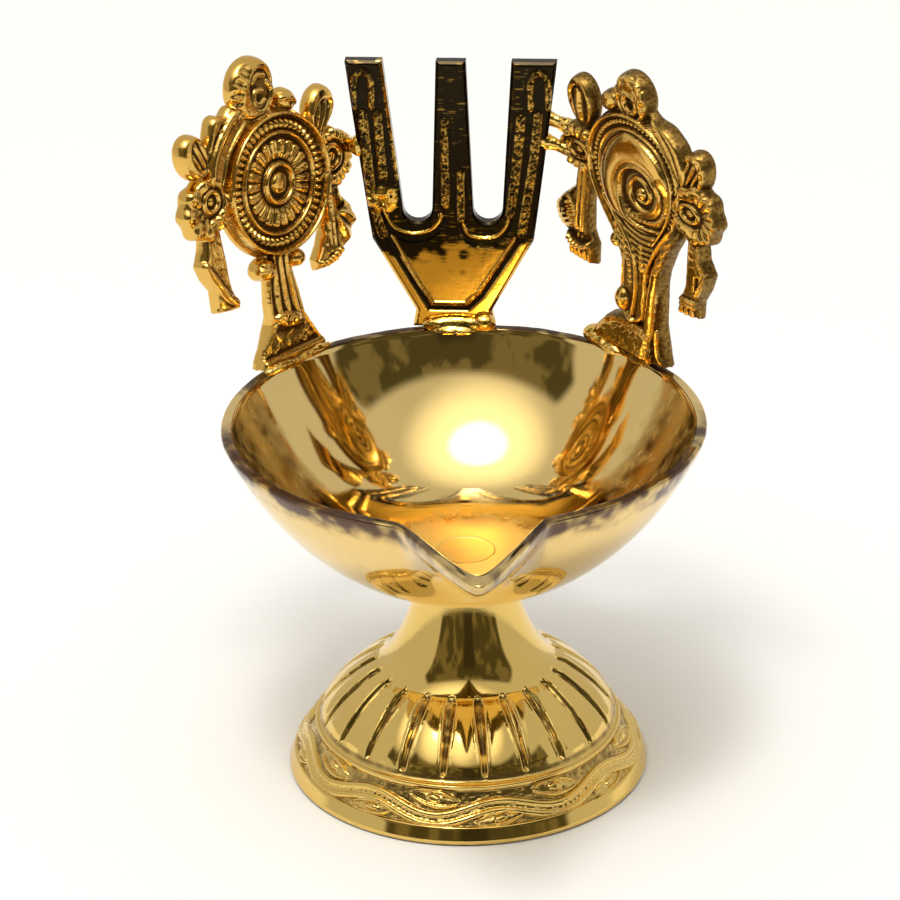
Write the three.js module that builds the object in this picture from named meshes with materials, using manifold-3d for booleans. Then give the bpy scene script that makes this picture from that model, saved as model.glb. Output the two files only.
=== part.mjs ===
// Standing brass oil lamp: a spouted bowl bolted on a fluted foot, with a disc emblem, a three-pronged
// plate and a conch emblem brazed on the back of its rim.
// Millimetres, +Z up. The lamp is drawn about the foot's axis with the spout towards -Y, and at the end
// it is moved so that the origin is on the table, below the middle of its bounding box.
import * as THREE from 'three';
import { mergeVertices } from 'three/addons/utils/BufferGeometryUtils.js';
import Module from 'manifold-3d';

const wasm = await Module();
wasm.setup();

// Clearance where one piece is cut to fit another, and round the bolt
const seatGap = 0.3;

// Foot: one hollow casting
const footRadius = 28.9;
const footEdgeRadius = 28.1;
const footEdgeHeight = 2.9;
const bandTopRadius = 24.6;
const bandTopHeight = 7.6;
const bandHollow = 0.1;
const beadRadius = 0.6;
const domeFootRadius = 23.7;
const domeFootHeight = 9.2;
const domeTopRadius = 15.2;
const domeTopHeight = 17.6;
const neckTopRadius = 7.6;
const neckTopHeight = 33;
const footWall = 2.4;
const footHollowHeight = 19.5;
const footHollowTopRadius = 8.8;
const grooveCount = 22;
const grooveTurn = 4.4;
const grooveHalfWidth = 0.15;
const grooveDepthTop = 0.9;
const grooveDepthBottom = 0.6;

// Bowl
const rimRadius = 38;
const bowlHeight = 27;
const bowlSeatRadius = 6.4;
const bellyReach = 11.4;
const bellyRise = 0.2;
const shoulderInset = 6.7;
const shoulderRise = 11;
const bowlWall = 2.2;
const hollowReach = 18.5;
const hollowFloorMargin = 3;
const lipWidth = 1.9;
const lipEdge = 0.5;
const floorThickness = 4.4;
const spoutReach = 57.8;
const spoutNose = 3.6;
const spoutHalfAngle = 17.5;
const spoutStartHeight = 7;
const spoutNoseDepth = 2.2;
const spoutTipRounding = 0.035;
const spoutFillet = 1.2;

// Bolt that holds the bowl on the foot, its head turned flush with the bowl's floor
const boltRadius = 2.4;
const boltHeadRadius = 4.6;
const boltHeadHeight = 2.2;
const washerRadius = 6.2;
const washerThickness = 1.1;
const nutAcrossFlats = 8;
const nutHeight = 3.2;
const boltTail = 1.4;

// Three-pronged plate
const plateHeight = 46;
const plateThickness = 2.7;
const plateDraft = 0.5;
const plateStandInset = 0.8;
const plateTurn = -6;
const plateTopHalf = 17;
const plateBendHalf = 13.1;
const plateBendHeight = 15.4;
const plateNeckHalf = 6.2;
const plateNeckHeight = 3;
const plateFootHalf = 6.7;
const middleProngTopHalf = 2.4;
const middleProngFootHalf = 3.3;
const leftSlotTopOuter = 11;
const rightSlotTopOuter = 9.7;
const slotFootOuter = 8.1;
const slotFloorHeight = 18.4;
const reliefWidth = 0.7;
const reliefHeight = 0.4;
const reliefRoot = 0.3;

// Emblems, each drawn on its own plane, x across, y up from the rim and z towards the bowl. Brazed by
// hand, the disc leans back, and the conch turns outward, leans to the bowl and tilts to its right.
// The arc is the length of rim from the plate's middle to each emblem.
const emblemArc = 31.44;
const emblemStandInset = 0.7;
const emblemBack = -1.5;
const emblemFace = 0.5;
const emblemEdge = -0.5;
const discLean = 8;
const conchSlew = 5.7;
const conchLean = -3;
const conchSpin = -6;

// Brass of the castings, of the turned surfaces, of the braze, and of the bolt
const brass = {
  turned: { color: 0xd6ab48, roughness: 0.16, metalness: 1 },
  cast: { color: 0xb98a35, roughness: 0.36, metalness: 1 },
  plate: { color: 0xa87c30, roughness: 0.24, metalness: 1 },
  braze: { color: 0xe0b04a, roughness: 0.3, metalness: 1 },
  bolt: { color: 0xcda55a, roughness: 0.3, metalness: 1 },
};

const degrees = THREE.MathUtils.degToRad;
const lerp = THREE.MathUtils.lerp;
const point = (x, y) => new THREE.Vector2(x, y);

// A closed geometry as a solid that can be joined and cut
function solid(geometry) {
  const bare = geometry.index ? geometry.clone() : geometry;
  bare.deleteAttribute('normal');
  bare.deleteAttribute('uv');
  const merged = mergeVertices(bare, 1e-4);
  return new wasm.Manifold(new wasm.Mesh({
    numProp: 3,
    vertProperties: new Float32Array(merged.attributes.position.array),
    triVerts: new Uint32Array(merged.index.array),
  }));
}

function geometryOf(manifold) {
  const mesh = manifold.getMesh();
  const geometry = new THREE.BufferGeometry();
  geometry.setAttribute('position', new THREE.BufferAttribute(mesh.vertProperties, 3));
  geometry.setIndex(new THREE.BufferAttribute(mesh.triVerts, 1));
  geometry.computeVertexNormals();
  return geometry;
}

// A regular outline of a few sides
function polygon(sides, radius) {
  const corners = [];
  for (let i = 0; i < sides; i += 1) {
    const turn = (i + 0.5) * Math.PI * 2 / sides;
    corners.push(point(radius * Math.cos(turn), radius * Math.sin(turn)));
  }
  return new THREE.Shape(corners);
}

function joined(solids) {
  return solids.reduce((whole, piece) => whole.add(piece));
}

// A profile of radius and height, turned about Z, starting at the spout's side
function turned(profile, segments, start = 0) {
  return new THREE.LatheGeometry(profile, segments, start).rotateX(Math.PI / 2);
}

// A solid skinned over rings of equally many points, listed so that the first ring faces out
function skinned(rings) {
  const count = rings[0].length;
  const positions = [];
  const indices = [];
  rings.forEach((ring) => ring.forEach((p) => positions.push(p.x, p.y, p.z)));
  for (let i = 0; i < rings.length - 1; i += 1) {
    for (let j = 0; j < count; j += 1) {
      const k = (j + 1) % count;
      const a = i * count + j;
      const b = i * count + k;
      indices.push(a, b, a + count, b, b + count, a + count);
    }
  }
  [0, rings.length - 1].forEach((i) => {
    const middle = new THREE.Vector3();
    rings[i].forEach((p) => middle.addScaledVector(p, 1 / count));
    const hub = positions.length / 3;
    positions.push(middle.x, middle.y, middle.z);
    for (let j = 0; j < count; j += 1) {
      const a = i * count + j;
      const b = i * count + (j + 1) % count;
      if (i === 0) indices.push(hub, b, a);
      else indices.push(hub, a, b);
    }
  });
  const geometry = new THREE.BufferGeometry();
  geometry.setAttribute('position', new THREE.Float32BufferAttribute(positions, 3));
  geometry.setIndex(indices);
  return geometry;
}

// The dome's outline, from the bead ring up to the neck
const domeCurve = new THREE.CubicBezierCurve(
  point(domeFootRadius, domeFootHeight),
  point(domeFootRadius - 2.1, domeFootHeight + 3.7),
  point(domeTopRadius + 3.4, domeTopHeight - 2.2),
  point(domeTopRadius, domeTopHeight),
);

// Each profile point of the foot's outside, with how deep the grooves are there
function footOutside() {
  const bandFoot = point(footEdgeRadius - 0.3, footEdgeHeight);
  const bandTop = point(bandTopRadius, bandTopHeight);
  const bandMiddle = bandFoot.clone().lerp(bandTop, 0.5).subScalar(bandHollow);
  const band = new THREE.QuadraticBezierCurve(bandFoot, bandMiddle, bandTop);
  const bead = new THREE.Path();
  bead.absarc(bandTop.x - beadRadius, bandTop.y + beadRadius, beadRadius, -0.3, Math.PI * 0.75, false);
  const plain = [
    point(0, 0),
    point(footRadius - 0.7, 0),
    point(footRadius, 0.8),
    point(footEdgeRadius, footEdgeHeight - 0.1),
    ...band.getPoints(2),
    ...bead.getPoints(3),
  ].map((p) => ({ p, cut: point(0, 0) }));
  const steps = 6;
  const dome = domeCurve.getPoints(steps).map((p, i) => {
    const along = domeCurve.getTangent(i / steps);
    const ends = i === 0 || i === steps ? 0 : 1;
    const depth = ends * lerp(grooveDepthBottom, grooveDepthTop, (i - 1) / (steps - 2));
    return { p, cut: point(-along.y * depth, along.x * depth) };
  });
  return [...plain, ...dome, { p: point(0, domeTopHeight), cut: point(0, 0) }];
}

// The foot's outside below the neck, its ribs parted by grooves of three facets to a rib
function flutedOutside() {
  const outside = footOutside();
  const geometry = turned(outside.map(({ p }) => p), 3 * grooveCount);
  const position = geometry.attributes.position;
  const facets = [0, grooveHalfWidth, 1 - grooveHalfWidth];
  for (let i = 0; i < position.count; i += 1) {
    const { p, cut } = outside[i % outside.length];
    const step = Math.floor(i / outside.length) % (3 * grooveCount);
    const pitch = Math.PI * 2 / grooveCount;
    const turn = (Math.floor(step / 3) + facets[step % 3]) * pitch + degrees(grooveTurn);
    const deep = step % 3 === 0 ? 1 : 0;
    const radius = p.x + cut.x * deep;
    position.setXYZ(i, radius * Math.sin(turn), -radius * Math.cos(turn), p.y + cut.y * deep);
  }
  return geometry;
}

function neck() {
  const curve = new THREE.CubicBezierCurve(
    point(domeTopRadius - 0.2, domeTopHeight + 0.1),
    point(domeTopRadius - 4, domeTopHeight + 2.8),
    point(neckTopRadius - 0.4, neckTopHeight - 10),
    point(neckTopRadius, neckTopHeight),
  );
  const low = domeTopHeight - 1;
  return turned([
    point(0, low),
    point(domeTopRadius - 0.2, low),
    ...curve.getPoints(7),
    point(0, neckTopHeight),
  ], 32);
}

function footHollow() {
  const mouth = footRadius - footWall - 0.8;
  return turned([
    point(0, -1),
    point(mouth, -1),
    point(mouth, footWall),
    point(domeFootRadius - footWall - 1.4, domeFootHeight),
    point(domeTopRadius - 1, domeTopHeight - footWall - 0.6),
    point(footHollowTopRadius, footHollowHeight),
    point(boltRadius + seatGap, footHollowHeight),
    point(boltRadius + seatGap, neckTopHeight + 1),
    point(0, neckTopHeight + 1),
  ], 20);
}

function makeFoot() {
  return geometryOf(solid(flutedOutside()).add(solid(neck())).subtract(solid(footHollow())));
}

// Distance from the axis to the rim at an angle from the spout, measured inside the lip by inset
function rimDistance(angle, inset) {
  const round = rimRadius - inset;
  const half = degrees(spoutHalfAngle);
  const shoulder = point(Math.sin(half) * round, Math.cos(half) * round);
  const sharp = spoutReach + spoutNose;
  const lean = Math.atan2(Math.sin(half) * rimRadius, sharp - Math.cos(half) * rimRadius);
  const reach = sharp - inset / Math.sin(lean);
  const tip = Math.atan2(shoulder.x, reach - shoulder.y);
  const away = Math.sqrt(angle * angle + spoutTipRounding * spoutTipRounding);
  const straight = reach * Math.sin(tip) / Math.sin(tip + away);
  const over = straight - round;
  return away > 2 * half ? round : round + (over + Math.sqrt(over * over + spoutFillet * spoutFillet)) / 2;
}

// Pulls a turned bowl's front out into the spout: insets tells how far each profile point is inside the lip
function pullSpout(geometry, insets) {
  const position = geometry.attributes.position;
  for (let i = 0; i < position.count; i += 1) {
    const inset = insets[i % insets.length];
    const x = position.getX(i);
    const y = position.getY(i);
    const z = position.getZ(i);
    const even = Math.atan2(x, -y);
    const angle = even - 0.6 * Math.sin(even);
    const climb = (z - neckTopHeight - spoutStartHeight) / (bowlHeight - spoutNoseDepth - spoutStartHeight);
    const rise = THREE.MathUtils.clamp(climb, 0, 1) ** 1.2;
    const pull = (rimDistance(Math.abs(angle), inset) / (rimRadius - inset) - 1) * rise;
    const radius = Math.hypot(x, y) * (1 + pull);
    position.setXYZ(i, radius * Math.sin(angle), -radius * Math.cos(angle), z);
  }
  return geometry;
}

// The bowl, or with grow the bowl and a clearance round it
function bowlGeometry(grow, segments, steps) {
  const base = neckTopHeight;
  const top = base + bowlHeight;
  const outer = new THREE.CubicBezierCurve(
    point(bowlSeatRadius, base),
    point(bowlSeatRadius + bellyReach, base + bellyRise),
    point(rimRadius - shoulderInset, base + shoulderRise),
    point(rimRadius, top - lipEdge),
  );
  const floorHeight = base + floorThickness;
  const inner = new THREE.CubicBezierCurve(
    point(rimRadius - lipWidth, top - lipEdge),
    point(rimRadius - shoulderInset - bowlWall, base + shoulderRise + 1),
    point(hollowReach, floorHeight),
    point(boltHeadRadius + hollowFloorMargin, floorHeight),
  );
  const profile = [];
  const insets = [];
  const add = (p, inset, side) => {
    profile.push(point(Math.max(0, p.x + side[0] * grow), p.y + side[1] * grow));
    insets.push(inset - side[0] * grow);
  };
  outer.getPoints(steps).forEach((p, i) => add(p, 0, i === 0 ? [0, -1] : [0.8, -0.6]));
  add(point(rimRadius - lipEdge, top), lipEdge, [0.5, 1]);
  add(point(rimRadius - lipWidth + lipEdge, top), lipWidth - lipEdge, [-0.5, 1]);
  inner.getPoints(steps).forEach((p) => add(p, lipWidth, [-0.8, 0.6]));
  add(point(boltHeadRadius + seatGap, floorHeight), lipWidth, [0, 1]);
  add(point(boltRadius + seatGap, floorHeight - boltHeadHeight), lipWidth, [0, 0]);
  add(point(boltRadius + seatGap, base), lipWidth, [0, -1]);
  profile.push(profile[0].clone());
  insets.push(insets[0]);
  return pullSpout(turned(profile, segments), insets);
}
const bowlSteps = 7;
const bowlSegments = 60;

function makeBolt() {
  const floorHeight = neckTopHeight + floorThickness;
  const tailEnd = footHollowHeight - washerThickness - nutHeight - boltTail;
  return turned([
    point(0, tailEnd),
    point(boltRadius - 0.5, tailEnd),
    point(boltRadius, tailEnd + 0.5),
    point(boltRadius, floorHeight - boltHeadHeight),
    point(boltHeadRadius, floorHeight),
    point(0, floorHeight),
  ], 18);
}

function makeWasher() {
  const hole = boltRadius + seatGap;
  const low = footHollowHeight - washerThickness;
  return turned([
    point(hole, low),
    point(washerRadius, low),
    point(washerRadius, footHollowHeight),
    point(hole, footHollowHeight),
    point(hole, low),
  ], 20);
}

function makeNut() {
  const hexagon = polygon(6, nutAcrossFlats / Math.sqrt(3));
  hexagon.holes.push(new THREE.Path().absarc(0, 0, boltRadius + seatGap, 0, Math.PI * 2, true));
  const nut = new THREE.ExtrudeGeometry(hexagon, {
    depth: nutHeight,
    bevelEnabled: false,
    curveSegments: 12,
  });
  return nut.translate(0, 0, footHollowHeight - washerThickness - nutHeight);
}

// Outline of the three-pronged plate, seen from the front
function plateShape() {
  const slotRadiusLeft = (slotFootOuter - middleProngFootHalf) / 2;
  const slotMiddle = (slotFootOuter + middleProngFootHalf) / 2;
  const slotTurn = slotFloorHeight + slotRadiusLeft;
  const shape = new THREE.Shape();
  shape.moveTo(-plateFootHalf, 0);
  shape.lineTo(plateFootHalf, 0);
  shape.lineTo(plateNeckHalf, plateNeckHeight);
  shape.lineTo(plateBendHalf, plateBendHeight);
  shape.quadraticCurveTo(plateTopHalf - 2.2, plateBendHeight + 12, plateTopHalf, plateHeight);
  shape.lineTo(rightSlotTopOuter, plateHeight);
  shape.lineTo(slotFootOuter, slotTurn);
  shape.absarc(slotMiddle, slotTurn, slotRadiusLeft, 0, -Math.PI, true);
  shape.lineTo(middleProngTopHalf, plateHeight);
  shape.lineTo(-middleProngTopHalf, plateHeight);
  shape.lineTo(-middleProngFootHalf, slotTurn);
  shape.absarc(-slotMiddle, slotTurn, slotRadiusLeft, 0, -Math.PI, true);
  shape.lineTo(-leftSlotTopOuter, plateHeight);
  shape.lineTo(-plateTopHalf, plateHeight);
  shape.quadraticCurveTo(-plateTopHalf + 2.2, plateBendHeight + 12, -plateBendHalf, plateBendHeight);
  shape.lineTo(-plateNeckHalf, plateNeckHeight);
  shape.closePath();
  return shape;
}

// A raised bar laid along a chain of points on a face, height out of the face
function reliefBar(points, face, width, height) {
  const rings = points.map((p, i) => {
    const before = point(...points[Math.max(0, i - 1)]);
    const after = point(...points[Math.min(points.length - 1, i + 1)]);
    const along = after.sub(before).normalize();
    const side = (across, out) => (
      new THREE.Vector3(p[0] - along.y * across, p[1] + along.x * across, face + out)
    );
    return [
      side(-width / 2, -reliefRoot),
      side(width / 2, -reliefRoot),
      side(width / 3, height),
      side(-width / 3, height),
    ];
  });
  return solid(skinned(rings));
}

function arcPoints(cx, cy, radius, from, to, count) {
  const list = [];
  for (let i = 0; i <= count; i += 1) {
    const turn = degrees(lerp(from, to, i / count));
    list.push([cx + radius * Math.cos(turn), cy + radius * Math.sin(turn)]);
  }
  return list;
}

// The plate with its sloped edges, or with grow the plate and a clearance round it
function plateBody(grow) {
  const body = new THREE.ExtrudeGeometry(plateShape(), {
    depth: plateThickness - 2 * plateDraft + 2 * grow,
    curveSegments: 5,
    bevelEnabled: true,
    bevelSegments: 1,
    bevelThickness: plateDraft,
    bevelSize: plateDraft,
    bevelOffset: grow - plateDraft,
  });
  return body.translate(0, 0, plateDraft - grow - plateThickness / 2);
}

// From a plane drawn in x and y to its place over the rim, turned to face the bowl, leaning back and
// spun on its foot
function standUpright(bearing, turn, standRadius, lean = 0, spin = 0) {
  const place = new THREE.Matrix4().makeRotationX(Math.PI / 2 - degrees(lean));
  place.multiply(new THREE.Matrix4().makeRotationZ(degrees(spin)));
  const facing = new THREE.Matrix4().makeRotationZ(degrees(turn));
  const out = degrees(90 + bearing);
  const shift = new THREE.Matrix4().makeTranslation(
    standRadius * Math.cos(out),
    standRadius * Math.sin(out),
    neckTopHeight + bowlHeight + seatGap,
  );
  return shift.multiply(facing).multiply(place);
}

const platePlace = standUpright(0, plateTurn, rimRadius - plateStandInset);
const emblemStand = rimRadius - emblemStandInset;
const bearing = THREE.MathUtils.radToDeg(emblemArc / emblemStand);
const discPlace = standUpright(bearing, bearing, emblemStand, discLean);
const conchPlace = standUpright(-bearing, -bearing - conchSlew, emblemStand, conchLean, conchSpin);

function makePlate() {
  const face = plateThickness / 2;
  const slotMiddle = (slotFootOuter + middleProngFootHalf) / 2;
  const slotRadius = (slotFootOuter - middleProngFootHalf) / 2;
  const slotTurn = slotFloorHeight + slotRadius;
  const ridge = slotRadius + 1.7;
  let plate = solid(plateBody(0));
  [-1, 1].forEach((side) => {
    const at = (x, y) => [side * x, y];
    const mirrored = (list) => list.map(([x, y]) => at(x, y));
    const prong = (plateTopHalf + (side < 0 ? leftSlotTopOuter : rightSlotTopOuter)) / 2;
    const arch = arcPoints(prong, plateHeight - 3.4, 1.8, 0, 180, 5);
    const archLegs = [[prong + 1.8, plateHeight - 8], ...arch, [prong - 1.8, plateHeight - 8]];
    const edge = [
      [prong + 0.4, plateHeight - 9],
      [plateBendHalf - 1.8, plateBendHeight + 1],
      [plateNeckHalf - 1.9, plateNeckHeight + 0.6],
      [0, plateNeckHeight + 0.6],
    ];
    const round = [
      [slotMiddle + ridge - 0.3, slotTurn + 12],
      ...arcPoints(slotMiddle, slotTurn, ridge, 0, -150, 6),
      [slotMiddle - ridge, slotTurn + 1],
    ];
    [archLegs, edge, round].forEach((chain) => {
      const list = side < 0 ? mirrored(chain).reverse() : mirrored(chain);
      plate = plate.add(reliefBar(list, face, reliefWidth, reliefHeight));
    });
  });
  return geometryOf(plate);
}

function ellipsoid(centre, radii, tilt = 0, around = 8, rings = 5) {
  const ball = new THREE.SphereGeometry(1, around, rings).rotateX(Math.PI / 2);
  return solid(ball.scale(...radii).rotateZ(degrees(tilt)).translate(...centre));
}

// A cross-section in x and z: flat behind, with a number of pleats in front
function pleatedSection(width, back, front, pleats, depth) {
  const list = [[width / 2, back], [-width / 2, back]].reverse();
  const points = [];
  for (let i = 0; i <= 2 * pleats; i += 1) {
    const across = width / 2 - width * i / (2 * pleats);
    points.push([across, i % 2 ? front : front - depth]);
  }
  return [...list, ...points];
}

// A pleated band hanging along stations of [x, y, width, front], its sections level or on a slant
function pleatedBand(stations, pleats, depth, back, slant = 0) {
  const rings = stations.map(([x, y, width, front]) => (
    pleatedSection(width, back, front, pleats, depth).map(([across, out]) => (
      new THREE.Vector3(x + across, y + slant * across, out)
    ))
  ));
  return solid(skinned(rings));
}

// A rounded flame: an oval swelling to a thick border, with a sunk ring and a leaf inside, or with grow
// its clearance
function flame(x, y, width, height, tilt, grow = 0) {
  const front = emblemFace + grow;
  const dome = turned([
    point(0, emblemBack - grow),
    point(0.86, emblemBack - grow),
    point(1, emblemEdge),
    point(0.92, front + 0.3),
    point(0.72, front + 0.9),
    point(0.48, front + 0.3),
    point(0.25, front + 0.8),
    point(0, front + 1),
  ], 12);
  dome.scale(width / 2 + grow, height / 2 + grow, 1);
  return solid(dome.rotateZ(degrees(tilt)).translate(x, y, 0));
}

// A round fan with a scalloped edge and an eye in the middle, or with grow its clearance
function rosette(x, y, radius, lobes, grow = 0) {
  const front = emblemFace + grow;
  const fan = turned([
    point(0, emblemBack - grow),
    point(radius * 0.9 + grow, emblemBack - grow),
    point(radius + grow, emblemEdge),
    point(radius * 0.94 + grow, front + 0.2),
    point(radius * 0.72, front + 1),
    point(radius * 0.46, front + 0.4),
    point(radius * 0.3, front + 1.1),
    point(0, front + 1.3),
  ], 2 * lobes);
  const position = fan.attributes.position;
  for (let i = 0; i < position.count; i += 1) {
    const px = position.getX(i);
    const py = position.getY(i);
    const reach = Math.hypot(px, py);
    const turn = Math.atan2(py, px);
    const swell = reach > radius * 0.6 ? 1 + 0.05 * Math.cos(lobes * turn) : 1;
    position.setXYZ(i, px * swell, py * swell, position.getZ(i));
  }
  return solid(fan.translate(x, y, 0));
}

// All that lies lower than the rim's level, seen from a plane that stands on it
function belowRim(matrix) {
  const depth = 20;
  const slab = new THREE.BoxGeometry(4 * rimRadius, 4 * rimRadius, depth);
  slab.translate(0, 0, neckTopHeight + bowlHeight + seatGap - depth / 2);
  return solid(slab.applyMatrix4(matrix.clone().invert()));
}

// Disc emblem
const discX = 2.9;
const discY = 29.1;
const discRadius = 11.6;
const discBackRadius = 12.2;
const discProud = 2.1;
const discPetals = 22;

// The disc, turned, its petals rippled into the floor between the hub and the milled ring
function disc() {
  const plain = emblemFace + 0.6;
  const petalMiddle = 5.8;
  const profile = [
    point(0, emblemBack),
    point(discBackRadius - 0.4, emblemBack),
    point(discBackRadius, emblemFace - 0.2),
    point(discRadius, emblemFace + 0.2),
    point(discRadius - 0.3, discProud),
    point(discRadius - 1.4, plain),
    point(discRadius - 2.8, plain + 0.6),
    point(discRadius - 3.4, plain - 0.1),
    point(petalMiddle, plain + 0.1),
    point(4, plain - 0.1),
    point(3.4, plain + 0.7),
    point(2, plain),
    point(0, plain + 0.9),
  ];
  const body = turned(profile, 2 * discPetals);
  const position = body.attributes.position;
  for (let i = 0; i < position.count; i += 1) {
    const reach = Math.hypot(position.getX(i), position.getY(i));
    const ridge = Math.floor(i / profile.length) % 2;
    if (Math.abs(reach - petalMiddle) < 0.01) position.setZ(i, plain + (ridge ? 0.5 : -0.2));
  }
  return solid(body.translate(discX, discY, 0));
}

// Skirt of the disc emblem, standing on the rim
function skirt(grow) {
  const rings = [
    [-1, 1.6, 16.2, 1.5, -2],
    [1.2, 1.5, 14.6, 1.7, -2],
    [2.6, 1.5, 12.6, 1, -1.9],
    [7.6 + grow, 1.5, 6.8, 0.9, -1.6],
  ].map(([y, x, width, front, back]) => {
    const half = width / 2 + grow;
    return [[-half, back - grow], [half, back - grow], [half, front + grow], [-half, front + grow]]
      .map(([across, out]) => new THREE.Vector3(x + across, y, out));
  });
  return solid(skinned(rings.reverse()));
}

// Fans and the flame that come near the plate, as place, size and lobes or tilt
const discFan = [16.4, 29.2, 5, 9];
const conchFan = [-13.3, 31.7, 4, 7];
const conchFlame = [-13.3, 39.9, 6.8, 8.8, 10];

function discEmblemSolid() {
  const pieces = [
    disc(),
    flame(0.7, 45.3, 10.2, 10.4, 4),
    flame(15.4, 37.5, 6.4, 8.4, -22),
    flame(-14.2, 38.3, 6.4, 8, 24),
    rosette(...discFan),
    rosette(-13.4, 29.5, 5.1, 8),
    ellipsoid([7.9, 41.3, -0.1], [2.3, 2, 1.4], -25),
    ellipsoid([-6.2, 40.4, -0.1], [3.2, 2.5, 1.4], 20),
    ellipsoid([-9.4, 36.8, -0.3], [2.6, 3.2, 1.2], -20),
    pleatedBand([
      [15.2, 26, 3.6, 0.5],
      [15.6, 22.4, 4.4, 0.9],
      [16.3, 20.4, 6.6, 1.1],
      [16.2, 17.8, 7.6, 1.1],
      [14.8, 15.4, 7, 0.9],
      [12.9, 13.6, 6, 1.3],
      [12.7, 11.8, 5.4, 0.8],
    ], 3, 0.5, emblemBack),
    pleatedBand([
      [-12.6, 26.6, 3.8, 0.5],
      [-12.9, 22.8, 4.8, 0.9],
      [-13.4, 20.4, 6.2, 1.2],
      [-12.9, 17.9, 5.4, 1],
      [-11.9, 15.8, 4.2, 0.7],
      [-11.6, 14, 4.8, 1.2],
      [-11.4, 12, 5.2, 0.8],
    ], 3, 0.5, emblemBack, -0.15),
    ellipsoid([-1.9, 16, 0.6], [1.9, 1.7, 1.5]),
    ellipsoid([5.3, 15.8, 0.5], [1.6, 1.5, 1.3]),
    pleatedBand([
      [1.2, 19, 6.2, 0.7],
      [1.25, 14, 6.1, 0.7],
      [1.35, 10.2, 7.4, 0.8],
      [1.5, 6.6, 8, 0.9],
    ], 4, 0.5, emblemBack),
    skirt(0),
  ];
  const plateHere = plateBody(seatGap).applyMatrix4(discPlace.clone().invert().multiply(platePlace));
  return joined(pieces).subtract(solid(plateHere)).subtract(belowRim(discPlace));
}

// Conch emblem
const conchX = 0.5;
const conchY = 32.6;
const conchHalfWidth = 11.2;
const conchHalfHeight = 9.9;
const conchTailX = 1.6;
const conchTailHalf = 3.2;
const conchTailEnd = 6.6;
const conchTurns = 1.7;

// Outline of the conch: a wide whorl narrowing to the channel at its foot
function conchShape(inset) {
  const half = conchHalfWidth - inset;
  const top = conchY + conchHalfHeight - inset;
  const tail = conchTailEnd + inset;
  const left = conchTailX - conchTailHalf + inset;
  const right = conchTailX + conchTailHalf - inset;
  const neckHeight = conchY - 16;
  const shape = new THREE.Shape();
  shape.moveTo(left, tail + 1.4);
  shape.quadraticCurveTo(conchTailX, tail - 1.4, right, tail + 1.4);
  shape.lineTo(right + 0.4, neckHeight);
  shape.bezierCurveTo(right + 1.2, conchY - 11.5, conchX + half, conchY - 8.5, conchX + half, conchY);
  shape.bezierCurveTo(conchX + half, conchY + 5.6, conchX + 6, top, conchX - 0.6, top);
  shape.bezierCurveTo(conchX - 6.6, top, conchX - half, conchY + 5.6, conchX - half, conchY);
  shape.bezierCurveTo(conchX - half, conchY - 7, left - 2.2, conchY - 9.5, left + 0.2, neckHeight);
  shape.closePath();
  return shape;
}

function conchSlab(inset, back, front) {
  const slab = new THREE.ExtrudeGeometry(conchShape(inset), {
    depth: front - back,
    curveSegments: 7,
    bevelEnabled: false,
  });
  return solid(slab.translate(0, 0, back));
}

// The raised line that winds into the conch's whorl
function whorl() {
  const path = [];
  for (let i = 0; i <= 12; i += 1) {
    const t = i / 12;
    const turn = Math.PI * (0.75 - 2 * conchTurns * t);
    const radius = lerp(6.6, 0.7, t);
    const dome = 1.2 * Math.cos(Math.min(1, radius / 8) * Math.PI / 2);
    path.push(new THREE.Vector3(
      conchX + 3 + radius * Math.cos(turn) * 0.9,
      conchY - 2 + radius * Math.sin(turn),
      emblemFace + 1.3 + dome,
    ));
  }
  return solid(new THREE.ExtrudeGeometry(polygon(5, 0.65), {
    extrudePath: new THREE.CatmullRomCurve3(path),
    steps: 20,
    bevelEnabled: false,
  }));
}

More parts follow.
